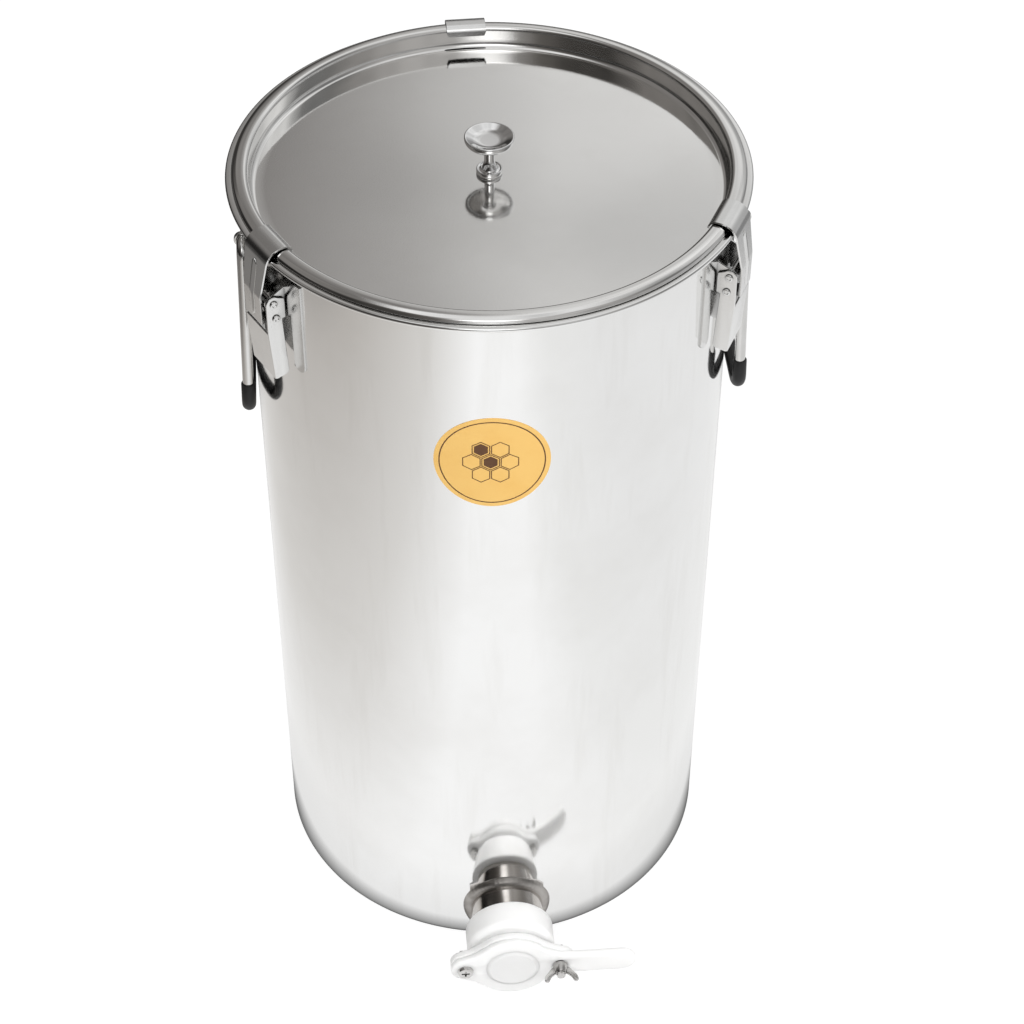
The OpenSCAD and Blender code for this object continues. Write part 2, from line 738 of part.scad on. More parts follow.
// The section along the grip and up both legs as far as a height
module grip_run(top) {
    bend_y = leg_y - grip_bend_r;
    handle_plane() {
        translate([-bend_y, grip_z, 0]) rotate([0, 90, 0]) linear_extrude(2 * bend_y) children();
        for (side = [0, 1]) mirror([side, 0, 0]) {
            translate([bend_y, grip_z + grip_bend_r, 0]) rotate(-90) rotate_extrude(angle = 90)
                translate([grip_bend_r, 0]) children();
            translate([leg_y, grip_z + grip_bend_r, 0]) rotate([-90, 0, 0])
                linear_extrude(top - grip_z - grip_bend_r) children();
        }
    }
}

// The section from the top of both legs into the lugs
module pivot_run() {
    bend_y = leg_y - pivot_bend_r;
    stub_y = lug_y - lug_t - lug_t / 2;
    handle_plane()
        for (side = [0, 1]) mirror([side, 0, 0]) {
            translate([bend_y, handle_z - pivot_bend_r, 0]) rotate_extrude(angle = 90)
                translate([pivot_bend_r, 0]) children();
            translate([stub_y, handle_z, 0]) rotate([0, 90, 0]) linear_extrude(bend_y - stub_y) children();
        }
}

module handle_rod(az) {
    color("silver") rotate(az) {
        grip_run(handle_z - pivot_bend_r) circle(r = rod_r);
        pivot_run() circle(r = rod_r);
    }
}

module handle_grip(az) {
    color("black") rotate(az) grip_run(grip_z + sleeve_h) difference() {
        circle(r = grip_r);
        circle(r = rod_r + fit_gap);
    }
}

module handle_lugs(az) {
    color("gainsboro") rotate(az) difference() {
        slab_pair(lug_y - lug_t, lug_y) {
            translate([handle_x, handle_z]) circle(r = lug_r);
            polygon([[0, handle_z - lug_h / 2], [0, handle_z + lug_h / 2],
                [wall_in_r, handle_z + lug_h / 2], [handle_x, handle_z + lug_r],
                [handle_x, handle_z - lug_r], [wall_in_r, handle_z - lug_h / 2]]);
        }
        drum(wall_r);
        translate([handle_x, lug_y + overrun, handle_z]) rotate([90, 0, 0])
            cylinder(r = rod_r + running_gap, h = lug_span + 2 * overrun);
    }
}

tank_wall();
base_pan();
round_label();
outlet_nipple();
nipple_gasket();
union_nut();
valve_body();
valve_gate();
gate_screw();
gate_screw_nut();
clamp_bolt();
wing_nut();
lid_pan();
lid_seal();
lid_knob();
knob_washer();
knob_screw();
latch_base(latch_back_az);  // latch_base_back
latch_lever(latch_back_az);  // latch_lever_back
latch_hook(latch_back_az);  // latch_hook_back
pivot_pin(latch_back_az);  // pivot_pin_back
hook_pin(latch_back_az);  // hook_pin_back
latch_base(latch_left_az);  // latch_base_left
latch_lever(latch_left_az);  // latch_lever_left
latch_hook(latch_left_az);  // latch_hook_left
pivot_pin(latch_left_az);  // pivot_pin_left
hook_pin(latch_left_az);  // hook_pin_left
latch_base(latch_right_az);  // latch_base_right
latch_lever(latch_right_az);  // latch_lever_right
latch_hook(latch_right_az);  // latch_hook_right
pivot_pin(latch_right_az);  // pivot_pin_right
hook_pin(latch_right_az);  // hook_pin_right
handle_lugs(180);  // handle_lugs_left
handle_rod(180);  // handle_rod_left
handle_grip(180);  // handle_grip_left
handle_lugs(0);  // handle_lugs_right
handle_rod(0);  // handle_rod_right
handle_grip(0);  // handle_grip_right
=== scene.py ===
import json
import math

import bmesh
import bpy
from mathutils import Matrix, Vector


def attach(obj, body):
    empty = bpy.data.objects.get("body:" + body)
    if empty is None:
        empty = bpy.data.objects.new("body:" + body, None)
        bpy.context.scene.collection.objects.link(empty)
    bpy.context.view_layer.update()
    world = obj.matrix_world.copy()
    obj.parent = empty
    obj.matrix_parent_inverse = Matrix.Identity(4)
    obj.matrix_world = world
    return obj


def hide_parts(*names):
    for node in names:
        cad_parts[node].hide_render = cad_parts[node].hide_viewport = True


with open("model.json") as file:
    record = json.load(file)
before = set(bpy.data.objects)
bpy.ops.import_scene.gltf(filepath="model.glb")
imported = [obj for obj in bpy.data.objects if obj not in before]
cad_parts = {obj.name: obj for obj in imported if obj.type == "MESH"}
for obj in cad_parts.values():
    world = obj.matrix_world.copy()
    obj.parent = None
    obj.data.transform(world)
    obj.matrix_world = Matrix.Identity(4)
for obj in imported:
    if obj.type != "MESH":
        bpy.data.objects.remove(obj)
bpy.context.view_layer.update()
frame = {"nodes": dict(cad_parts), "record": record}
nodes = frame["nodes"]
print("frame loaded", len(nodes))

unit = 0.001  # one millimetre in metres
axisR = 0.01  # keeps a turned profile just off its axis
largeTurn = 288  # segments of turned pieces
tapTurn = 128
smallTurn = 96
sizes = dict(wallR=157.5, tapZ=34.0, boltX=34.5, labelZ=477.5, labelAz=266.4, labelT=0.2)
latchAz = dict(back=91.8, left=208.7, right=333.6)
handleAz = dict(left=180.0, right=0.0)


# Geometry helpers

def arcPoints(centre, radius, start, end, steps):
    points = []
    for i in range(steps + 1):
        a = math.radians(start + (end - start) * i / steps)
        points.append((centre[0] + radius * math.cos(a), centre[1] + radius * math.sin(a)))
    return points


def circle(centre, radius, steps):
    return arcPoints(centre, radius, 0, 360 - 360 / steps, steps - 1)


nearlyStraight = 1.55  # half the angle at a corner, in radians


def filletPath(points, radii, steps=6, share=0.49):
    path = [tuple(points[0])]
    for before, here, after, radius in zip(points, points[1:], points[2:], radii):
        p = Vector(here)
        a = Vector(before) - p
        b = Vector(after) - p
        half = a.angle(b) / 2
        if radius <= 0 or half > nearlyStraight:
            path.append(tuple(here))
            continue
        run = min(radius / math.tan(half), a.length * share, b.length * share)
        bend = run * math.tan(half)
        a.normalize()
        b.normalize()
        centre = p + (a + b).normalized() * (bend / math.sin(half))
        start = p + a * run - centre
        end = p + b * run - centre
        sweep = start.angle(end)
        for i in range(steps + 1):
            q = sweep * i / steps
            path.append(tuple(centre + (start * math.sin(sweep - q) + end * math.sin(q)) / math.sin(sweep)))
    path.append(tuple(points[-1]))
    return path


def addObject(name, data):
    piece = bpy.data.objects.new(name, data)
    bpy.context.scene.collection.objects.link(piece)
    return piece


def cleanMesh(mesh, gap):
    bm = bmesh.new()
    bm.from_mesh(mesh)
    bmesh.ops.remove_doubles(bm, verts=bm.verts, dist=gap)
    bmesh.ops.recalc_face_normals(bm, faces=bm.faces)
    bm.to_mesh(mesh)
    bm.free()
    for polygon in mesh.polygons:
        polygon.use_smooth = True
    mesh.update()


def meshObject(name, verts, faces):
    mesh = bpy.data.meshes.new(name)
    mesh.from_pydata([Vector(v) * unit for v in verts], [], faces)
    cleanMesh(mesh, gap=1e-7)
    return addObject(name, mesh)


def ringFaces(rings, count, around):
    faces = []
    for s in range(rings if around else rings - 1):
        t = (s + 1) % rings
        for i in range(count):
            j = (i + 1) % count
            faces.append((s * count + i, t * count + i, t * count + j, s * count + j))
    if not around:  # caps on both ends
        faces.append(tuple(range(count)))
        faces.append(tuple(range((rings - 1) * count, rings * count)))
    return faces


def sharpen(piece, angle=40):
    piece.data.set_sharp_from_angle(angle=math.radians(angle))


def lathe(name, profile, segments, place=None, sharpAngle=40):
    verts = []
    for s in range(segments):
        a = 2 * math.pi * s / segments
        verts += [(r * math.cos(a), r * math.sin(a), z) for r, z in profile]
    piece = meshObject(name, verts, ringFaces(segments, len(profile), True))
    if place is not None:
        piece.data.transform(place)
    sharpen(piece, sharpAngle)
    return piece


# Camera

cameraPlace = dict(location=(-0.0895, -1.2797, 1.4930), yaw=4.686, pitch=43.214, roll=0.263, lens=86.05,
                   sensor=36.0, far=50.0)


def makeCamera(place):
    yaw = math.radians(place["yaw"])
    pitch = math.radians(place["pitch"])
    roll = math.radians(place["roll"])
    forward = Vector((math.sin(yaw) * math.cos(pitch), math.cos(yaw) * math.cos(pitch), -math.sin(pitch)))
    right = Vector((math.cos(yaw), -math.sin(yaw), 0))
    up = right.cross(forward)
    tiltedRight = right * math.cos(roll) + up * math.sin(roll)
    tiltedUp = up * math.cos(roll) - right * math.sin(roll)
    data = bpy.data.cameras.new("camera")
    data.lens = place["lens"]
    data.sensor_width = place["sensor"]
    data.clip_end = place["far"]
    camera = addObject("camera", data)
    turn = Matrix((tiltedRight, tiltedUp, -forward)).transposed()
    camera.matrix_world = Matrix.Translation(place["location"]) @ turn.to_4x4()
    bpy.context.scene.camera = camera


makeCamera(cameraPlace)
bpy.context.scene.view_settings.view_transform = "Standard"
print("camera set")


# Shader helpers

def shaderNode(tree, kind, inputs=None, **settings):
    node = tree.nodes.new(kind)
    for key, value in settings.items():
        setattr(node, key, value)
    for key, value in (inputs or {}).items():
        if isinstance(value, bpy.types.NodeSocket):
            tree.links.new(value, node.inputs[key])
        else:
            node.inputs[key].default_value = value
    return node


def opaque(colour):
    return (*colour, 1.0)


def grey(value):
    return opaque((value, value, value))


def ramp(tree, factor, stops):
    node = shaderNode(tree, "ShaderNodeValToRGB", {"Fac": factor})
    elements = node.color_ramp.elements
    while len(elements) < len(stops):
        elements.new(1.0)
    for element, (place, colour) in zip(elements, stops):
        element.position = place
        element.color = opaque(colour)
    return node.outputs["Color"]


def calc(tree, operation, *values):
    return shaderNode(tree, "ShaderNodeMath", dict(enumerate(values)), operation=operation).outputs[0]


def mapRange(tree, value, low, high, toLow=0.0, toHigh=1.0):
    node = shaderNode(tree, "ShaderNodeMapRange", {"Value": value, "From Min": low, "From Max": high,
                                                   "To Min": toLow, "To Max": toHigh})
    return node.outputs["Result"]


def noise(tree, vector, scale, detail, roughness=0.5):
    node = shaderNode(tree, "ShaderNodeTexNoise", {"Vector": vector, "Scale": scale, "Detail": detail,
                                                   "Roughness": roughness})
    return node.outputs["Fac"]


def mixColour(tree, factor, a, b):
    return shaderNode(tree, "ShaderNodeMix", {0: factor, 6: a, 7: b}, data_type="RGBA").outputs[2]


def scaled(tree, vector, factor):
    node = shaderNode(tree, "ShaderNodeVectorMath", {0: vector, "Scale": factor}, operation="SCALE")
    return node.outputs[0]


def multiplied(tree, a, b):
    return shaderNode(tree, "ShaderNodeVectorMath", {0: a, 1: b}, operation="MULTIPLY").outputs[0]


def newMaterial(name):
    material = bpy.data.materials.new(name)
    material.use_nodes = True
    tree = material.node_tree
    return material, tree, tree.nodes["Principled BSDF"]


# Stage: ramps give what the steel mirrors, from left to right

floorLook = dict(
    reach=6.0, drop=0.0003, albedo=0.8, rough=0.9, spanX=2.4,
    stops=((0.0, (0.22, 0.212, 0.204)), (0.13, (0.21, 0.20, 0.19)), (0.22, (0.50, 0.475, 0.45)),
           (0.35, (0.70, 0.685, 0.665)), (0.45, (0.98, 0.98, 0.98)), (0.54, (0.98, 0.98, 0.98)),
           (0.60, (0.88, 0.88, 0.875)), (0.70, (0.84, 0.84, 0.84)), (1.0, (0.80, 0.80, 0.80))),
    # painted contact shadow around the drum's foot, in the floor that the steel mirrors
    shadeR=(0.1565, 0.2165),
    shadeStops=((0.0, (0.02,) * 3), (0.09, (0.38,) * 3), (0.25, (0.88,) * 3), (1.0, (1.0,) * 3)),
    backY=(0.42, 0.62), backShade=0.3, glow=0.84, glowR=(0.9, 2.4), catch=0.24)
worldLook = dict(
    horizon=((0.0, (0.02, 0.019, 0.018)), (0.45, (0.06, 0.057, 0.054)), (0.6, (0.22, 0.215, 0.21)),
             (0.75, (0.5, 0.5, 0.5)), (1.0, (0.6, 0.6, 0.6))),
    backStops=((0.0, (0.24, 0.228, 0.218)), (0.308, (0.31, 0.298, 0.288)), (0.385, (0.52, 0.51, 0.50)),
               (0.462, (0.90, 0.895, 0.885)), (0.65, (0.98, 0.98, 0.975)), (1.0, (0.90, 0.90, 0.895))),
    sideX=(0.36, 0.62), sideY=(0.16, 0.34), sideShade=0.25,
    frontStops=((0.0, (0.07, 0.066, 0.062)), (0.22, (0.08, 0.075, 0.07)), (0.30, (0.16, 0.15, 0.14)),
                (0.37, (0.38, 0.37, 0.36)), (0.42, (1.1, 1.1, 1.1)), (0.53, (1.1, 1.1, 1.1)),
                (0.59, (0.70, 0.69, 0.68)), (0.72, (0.60, 0.59, 0.58)), (0.84, (0.40, 0.39, 0.38)),
                (1.0, (0.25, 0.24, 0.23))),
    backSpan=(-0.5, 0.8), bandZ=(0.22, 0.46), frontY=(-0.05, -0.35), topZ=(0.90, 0.96), top=(1.0, 1.0, 1.0),
    cloud=(0.80, 1.16), cloudSpan=(0.3, 0.7), cloudScale=4.5, cloudDetail=1.0,
    flash=(-0.06, -0.72, 0.69), flashEdge=(0.970, 0.9965), flashGlow=(2.6, 2.6, 2.6), strength=0.78)
lampTable = (
    dict(name="keyLamp", place=(-1.1, -1.6, 2.2), aim=(0, 0, 0.3), size=1.6, power=47.0),
    dict(name="fillLamp", place=(1.6, -1.0, 1.5), aim=(0, 0, 0.3), size=1.4, power=26.0),
)


def makeFloor(look):
    h = look["reach"] / unit
    floor = meshObject("floor", [(-h, -h, 0), (h, -h, 0), (h, h, 0), (-h, h, 0)], [(0, 1, 2, 3)])
    floor.location.z = -look["drop"]
    material, tree, shader = newMaterial("floorPaper")
    shader.inputs["Base Color"].default_value = grey(look["albedo"])
    shader.inputs["Roughness"].default_value = look["rough"]
    output = tree.nodes["Material Output"]
    coords = shaderNode(tree, "ShaderNodeTexCoord").outputs["Object"]
    axes = shaderNode(tree, "ShaderNodeSeparateXYZ", {0: coords})
    half = look["spanX"] / 2
    shade = ramp(tree, mapRange(tree, axes.outputs["X"], -half, half), look["stops"])
    shade = scaled(tree, shade, mapRange(tree, axes.outputs["Y"], *look["backY"], 1.0, look["backShade"]))
    away = shaderNode(tree, "ShaderNodeVectorMath", {0: coords}, operation="LENGTH").outputs["Value"]
    clear = ramp(tree, mapRange(tree, away, *look["shadeR"]), look["shadeStops"])  # painted contact shadow close to the drum, seen only in the steel's reflections
    shade = multiplied(tree, shade, clear)
    mirrored = shaderNode(tree, "ShaderNodeEmission", {"Color": shade, "Strength": 1.0})
    lit = mapRange(tree, away, *look["glowR"], look["glow"], 1.0)  # the far floor turns plain white
    glow = shaderNode(tree, "ShaderNodeEmission", {"Color": grey(1.0), "Strength": lit})
    catch = shaderNode(tree, "ShaderNodeBsdfDiffuse", {"Color": grey(look["catch"])})  # keeps a faint shadow
    seen = shaderNode(tree, "ShaderNodeAddShader", {0: glow.outputs[0], 1: catch.outputs[0]})
    path = shaderNode(tree, "ShaderNodeLightPath")
    first = shaderNode(tree, "ShaderNodeMixShader", {0: path.outputs["Is Glossy Ray"], 1: shader.outputs[0],
                                                     2: mirrored.outputs[0]})
    second = shaderNode(tree, "ShaderNodeMixShader", {0: path.outputs["Is Camera Ray"], 1: first.outputs[0],
                                                      2: seen.outputs[0]})
    tree.links.new(second.outputs[0], output.inputs["Surface"])
    floor.data.materials.append(material)


def makeWorld(look):
    world = bpy.data.worlds.new("studio")
    bpy.context.scene.world = world
    world.use_nodes = True
    tree = world.node_tree
    background = tree.nodes["Background"]
    direction = shaderNode(tree, "ShaderNodeTexCoord").outputs["Generated"]
    axes = shaderNode(tree, "ShaderNodeSeparateXYZ", {0: direction})
    x, y, z = (axes.outputs[name] for name in "XYZ")
    across = mapRange(tree, x, -1, 1)
    low = ramp(tree, across, look["horizon"])
    back = ramp(tree, mapRange(tree, x, *look["backSpan"]), look["backStops"])
    side = mapRange(tree, x, *look["sideX"], 1.0, look["sideShade"])  # dark far to the right
    back = scaled(tree, back, mapRange(tree, y, *look["sideY"], side, 1.0))
    front = ramp(tree, across, look["frontStops"])
    room = mixColour(tree, mapRange(tree, y, *look["frontY"]), back, front)
    room = mixColour(tree, mapRange(tree, z, *look["topZ"]), room, opaque(look["top"]))
    room = mixColour(tree, mapRange(tree, z, *look["bandZ"]), low, room)
    cloud = noise(tree, direction, look["cloudScale"], look["cloudDetail"])
    room = scaled(tree, room, mapRange(tree, cloud, *look["cloudSpan"], *look["cloud"]))
    toward = Vector(look["flash"]).normalized()
    facing = shaderNode(tree, "ShaderNodeVectorMath", {0: direction, 1: toward}, operation="DOT_PRODUCT")
    flash = mapRange(tree, facing.outputs["Value"], *look["flashEdge"])
    room = mixColour(tree, flash, room, opaque(look["flashGlow"]))
    tree.links.new(room, background.inputs["Color"])
    background.inputs["Strength"].default_value = look["strength"]
    plain = shaderNode(tree, "ShaderNodeBackground", {"Color": grey(1.0), "Strength": 1.0})
    path = shaderNode(tree, "ShaderNodeLightPath")
    both = shaderNode(tree, "ShaderNodeMixShader", {0: path.outputs["Is Camera Ray"],
                                                    1: background.outputs[0], 2: plain.outputs[0]})
    tree.links.new(both.outputs[0], tree.nodes["World Output"].inputs["Surface"])


def makeLamp(lamp):
    data = bpy.data.lights.new(lamp["name"], "AREA")
    data.shape = "DISK"
    data.size = lamp["size"]
    data.energy = lamp["power"]
    piece = addObject(lamp["name"], data)
    piece.visible_glossy = False  # the metal shows the room and not the lamps
    toward = Vector(lamp["aim"]) - Vector(lamp["place"])
    turn = toward.to_track_quat("-Z", "Y").to_matrix()
    piece.matrix_world = Matrix.Translation(lamp["place"]) @ turn.to_4x4()


makeFloor(floorLook)
makeWorld(worldLook)
for lamp in lampTable:
    makeLamp(lamp)
print("stage set")

# Shared effects: each noise has its scale, detail and roughness

wearLook = dict(smudge=(9.0, 5.0, 0.62), smudgeSpan=(0.45, 0.72), grain=(900.0, 2.0, 0.6),
                streak=(46.0, 4.0, 0.6), streakSpan=(0.5, 0.78), streakStretch=(1.0, 1.0, 0.12))
# painted shade in narrow gaps: how far ambient occlusion looks, its span, its samples and the dark colour
# mixed in
gapShadeLook = dict(reach=0.015, span=(0.28, 0.78), samples=24, colour=(0.07, 0.066, 0.062))


def newGroup(name, entries, results):
    tree = bpy.data.node_groups.new(name, "ShaderNodeTree")
    for entry in entries:
        tree.interface.new_socket(name=entry, in_out="INPUT", socket_type="NodeSocketFloat")
    for result in results:
        tree.interface.new_socket(name=result, in_out="OUTPUT", socket_type="NodeSocketFloat")
    return tree, tree.nodes.new("NodeGroupInput").outputs, tree.nodes.new("NodeGroupOutput").inputs


def wearGroup(look):
    tree, entry, leave = newGroup("wearMarks", ["Scale"], ["Smudge", "Grain", "Streak"])
    coords = scaled(tree, shaderNode(tree, "ShaderNodeTexCoord").outputs["Object"], entry["Scale"])
    stretched = multiplied(tree, coords, look["streakStretch"])
    smudge = mapRange(tree, noise(tree, coords, *look["smudge"]), *look["smudgeSpan"])
    streak = mapRange(tree, noise(tree, stretched, *look["streak"]), *look["streakSpan"])
    tree.links.new(smudge, leave["Smudge"])
    tree.links.new(noise(tree, coords, *look["grain"]), leave["Grain"])
    tree.links.new(streak, leave["Streak"])
    return tree


def gapShadeGroup(look):
    tree, entry, leave = newGroup("gapFilm", ["Amount"], ["Film"])  # painted shade: a dark colour in narrow gaps and between parts, from ambient occlusion
    room = shaderNode(tree, "ShaderNodeAmbientOcclusion", {"Distance": look["reach"]},
                      samples=look["samples"])
    tree.links.new(mapRange(tree, room.outputs["AO"], *look["span"], entry["Amount"], 0.0), leave["Film"])
    return tree


wearMarks = wearGroup(wearLook)
gapFilm = gapShadeGroup(gapShadeLook)

# Materials

steelLooks = dict(
    wall_steel=dict(scale=1.0, colour=(0.93, 0.93, 0.925), dirt=(0.80, 0.79, 0.77), smudge=0.35, streak=0.5,
                    rough=0.07, roughVary=0.05, bump=0.02),
    # the stub's steel is darker and browner than the wall: a brown weld heat tint plus painted shade
    nipple_steel=dict(scale=3.0, colour=(0.62, 0.595, 0.57), dirt=(0.42, 0.39, 0.36), smudge=0.6, streak=0.3,
                      rough=0.10, roughVary=0.08, bump=0.04),
    weld_steel=dict(scale=6.0, colour=(0.46, 0.44, 0.42), dirt=(0.25, 0.23, 0.21), smudge=0.7, streak=0.3,
                    rough=0.30, roughVary=0.12, bump=0.15),
    lid_steel=dict(scale=1.0, colour=(0.88, 0.875, 0.865), dirt=(0.80, 0.79, 0.775), smudge=0.5, streak=0.1,
                   rough=0.065, roughVary=0.05, bump=0.03),
    knob_chrome=dict(scale=3.0, colour=(0.90, 0.90, 0.90), dirt=(0.82, 0.81, 0.80), smudge=0.3, streak=0.0,
                     rough=0.05, roughVary=0.05, bump=0.01),
    # fastener and latch steel also get painted shade in narrow gaps
    fastener_steel=dict(scale=4.0, colour=(0.70, 0.69, 0.68), dirt=(0.45, 0.44, 0.42), smudge=0.6, streak=0.2,
                        rough=0.22, roughVary=0.12, bump=0.06, gapShade=0.8),
    latch_steel=dict(scale=3.0, colour=(0.86, 0.86, 0.855), dirt=(0.70, 0.69, 0.67), smudge=0.4, streak=0.3,
                     rough=0.16, roughVary=0.08, bump=0.04, gapShade=0.9),
    rod_steel=dict(scale=3.0, colour=(0.74, 0.735, 0.725), dirt=(0.58, 0.57, 0.55), smudge=0.4, streak=0.4,
                   rough=0.16, roughVary=0.10, bump=0.04),
)
plasticLooks = dict(
    tap_plastic=dict(scale=3.0, colour=(0.92, 0.92, 0.915), dirt=(0.86, 0.855, 0.84), smudge=0.4, rough=0.32,
                     roughVary=0.12, specular=0.5, scatter=0.35, bump=0.03),
    grip_vinyl=dict(scale=4.0, colour=(0.012, 0.012, 0.0125), dirt=(0.03, 0.03, 0.03), smudge=0.6, rough=0.42,
                    roughVary=0.15, specular=0.35, scatter=0.0, bump=0.08),
    seal_rubber=dict(scale=4.0, colour=(0.16, 0.16, 0.16), dirt=(0.24, 0.24, 0.23), smudge=0.6, rough=0.6,
                     roughVary=0.15, specular=0.3, scatter=0.0, bump=0.1),
    label_foil=dict(scale=5.0, colour=(0.78, 0.485, 0.141), dirt=(0.74, 0.425, 0.104), smudge=0.5, rough=0.35,
                    roughVary=0.1, specular=0.4, scatter=0.0, bump=0.02),
    label_ink=dict(scale=5.0, colour=(0.10, 0.045, 0.02), dirt=(0.16, 0.08, 0.04), smudge=0.5, rough=0.5,
                   roughVary=0.1, specular=0.3, scatter=0.0, bump=0.02),
)
bumpDepth = 0.0004
scatterDepth = 0.008


def wornMaterial(name, look):
    material, tree, shader = newMaterial(name)
    wear = shaderNode(tree, "ShaderNodeGroup", {"Scale": look["scale"]}, node_tree=wearMarks).outputs
    rough = calc(tree, "MULTIPLY_ADD", wear["Smudge"], look["roughVary"], look["rough"])
    tree.links.new(rough, shader.inputs["Roughness"])
    bump = shaderNode(tree, "ShaderNodeBump", {"Height": wear["Grain"], "Strength": look["bump"],
                                               "Distance": bumpDepth})
    tree.links.new(bump.outputs[0], shader.inputs["Normal"])
    return material, tree, shader, wear


def makeSteel(name, look):
    material, tree, shader, wear = wornMaterial(name, look)
    marks = calc(tree, "MAXIMUM", calc(tree, "MULTIPLY", wear["Smudge"], look["smudge"]),
                 calc(tree, "MULTIPLY", wear["Streak"], look["streak"]))
    colour = mixColour(tree, marks, opaque(look["colour"]), opaque(look["dirt"]))
    # painted shade: the colour turns dark where other surfaces are near
    if "gapShade" in look:
        gapShade = shaderNode(tree, "ShaderNodeGroup", {"Amount": look["gapShade"]}, node_tree=gapFilm)
        colour = mixColour(tree, gapShade.outputs["Film"], colour, opaque(gapShadeLook["colour"]))
    tree.links.new(colour, shader.inputs["Base Color"])
    shader.inputs["Metallic"].default_value = 1.0
    return material


def makePlastic(name, look):
    material, tree, shader, wear = wornMaterial(name, look)
    marks = calc(tree, "MULTIPLY", wear["Smudge"], look["smudge"])
    colour = mixColour(tree, marks, opaque(look["colour"]), opaque(look["dirt"]))
    tree.links.new(colour, shader.inputs["Base Color"])
    shader.inputs["Specular IOR Level"].default_value = look["specular"]
    shader.inputs["Subsurface Weight"].default_value = look["scatter"]
    shader.inputs["Subsurface Radius"].default_value = (1.0, 1.0, 1.0)
    shader.inputs["Subsurface Scale"].default_value = scatterDepth
    return material


materials = {name: makeSteel(name, look) for name, look in steelLooks.items()}
materials.update({name: makePlastic(name, look) for name, look in plasticLooks.items()})


def dressNodes():
    for entry in frame["record"]["subparts"]:
        mesh = nodes[entry["node"]].data
        mesh.materials.clear()
        mesh.materials.append(materials[entry["material_slot"]])


dressNodes()
print("materials made", len(materials))


# Piece helpers

def dress(piece, body, slot, *replaced):
    piece.data.materials.clear()
    piece.data.materials.append(materials[slot])
    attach(piece, body)
    if replaced:
        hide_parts(*replaced)
    return piece


def turned(azimuth):
    return Matrix.Rotation(math.radians(azimuth), 4, "Z")


upright = Matrix.Rotation(math.pi / 2, 4, "X")  # x stays, y goes up, z goes to -Y
onTap = Matrix.Translation((0, 0, sizes["tapZ"] * unit)) @ upright


def softEdges(piece, width, angle=35, segments=2, gap=1e-5):
    weld = piece.modifiers.new("weld", "WELD")
    weld.merge_threshold = gap
    bevel = piece.modifiers.new("edge", "BEVEL")
    bevel.width = width * unit
    bevel.segments = segments
    bevel.limit_method = "ANGLE"
    bevel.angle_limit = math.radians(angle)
    weighted = piece.modifiers.new("weighted", "WEIGHTED_NORMAL")
    weighted.keep_sharp = True


def joinMeshes(name, parts):
    bm = bmesh.new()
    for part in parts:
        bm.from_mesh(part.data)
        bpy.data.objects.remove(part)
    mesh = bpy.data.meshes.new(name)
    bm.to_mesh(mesh)
    bm.free()
    return addObject(name, mesh)


def plate(name, outlines, low, high, edge, place):
    curve = bpy.data.curves.new(name, "CURVE")
    curve.dimensions = "2D"
    curve.fill_mode = "BOTH"
    curve.extrude = ((high - low) / 2 - edge) * unit
    curve.bevel_depth = edge * unit
    curve.bevel_resolution = 2
    curve.offset = -edge * unit
    for outline in outlines:
        spline = curve.splines.new("POLY")
        spline.points.add(len(outline) - 1)
        for point, (x, y) in zip(spline.points, outline):
            point.co = (x * unit, y * unit, 0, 1)
        spline.use_cyclic_u = True
    holder = addObject(name + "Outline", curve)
    mesh = bpy.data.meshes.new_from_object(holder)
    bpy.data.objects.remove(holder)
    cleanMesh(mesh, gap=2e-6)
    mesh.transform(place @ Matrix.Translation((0, 0, (low + high) / 2 * unit)))
    piece = addObject(name, mesh)
    sharpen(piece)
    return piece


def tube(name, path, radii, sides=28, sharpAngle=50):
    points = [Vector(p) for p in path]
    verts = []
    last = len(points) - 1
    lean = (points[1] - points[0]).normalized().orthogonal().normalized()
    for i, point in enumerate(points):
        along = (points[min(i + 1, last)] - points[max(i - 1, 0)]).normalized()
        lean = (lean - along * lean.dot(along)).normalized()
        across = along.cross(lean)
        for s in range(sides):
            a = 2 * math.pi * s / sides
            verts.append(point + (lean * math.cos(a) + across * math.sin(a)) * radii[i])
    piece = meshObject(name, verts, ringFaces(len(points), sides, False))
    sharpen(piece, sharpAngle)
    return piece


def strip(name, path, widths, thickness):
    verts = []
    last = len(path) - 1
    for i, (r, z) in enumerate(path):
        along = (Vector(path[min(i + 1, last)]) - Vector(path[max(i - 1, 0)])).normalized()
        outR = r - along[1] * thickness
        outZ = z + along[0] * thickness
        w = widths[i]
        verts += [(r, -w, z), (r, w, z), (outR, w, outZ), (outR, -w, outZ)]
    return meshObject(name, verts, ringFaces(len(path), 4, False))


def ridge(name, path, widths, height, steps=8):
    verts = []
    for (r, z), w in zip(path, widths):
        verts += [(r + height * up, w * y, z) for y, up in arcPoints((0, 0), 1, 0, 180, steps)]
    return meshObject(name, verts, ringFaces(len(path), steps + 1, False))


# Drum wall and base

drum = dict(wallR=sizes["wallR"], wallIn=156.5, sheet=1.0, baseEdge=6.0, cornerR=4.0, rimZ=591.0,
            rimR=167.3, hemT=3.0, neckBend=1.6, shoulderBend=1.2, holeR=26.7, cut=(120.0, 200.0),
            bandZ=62.0)


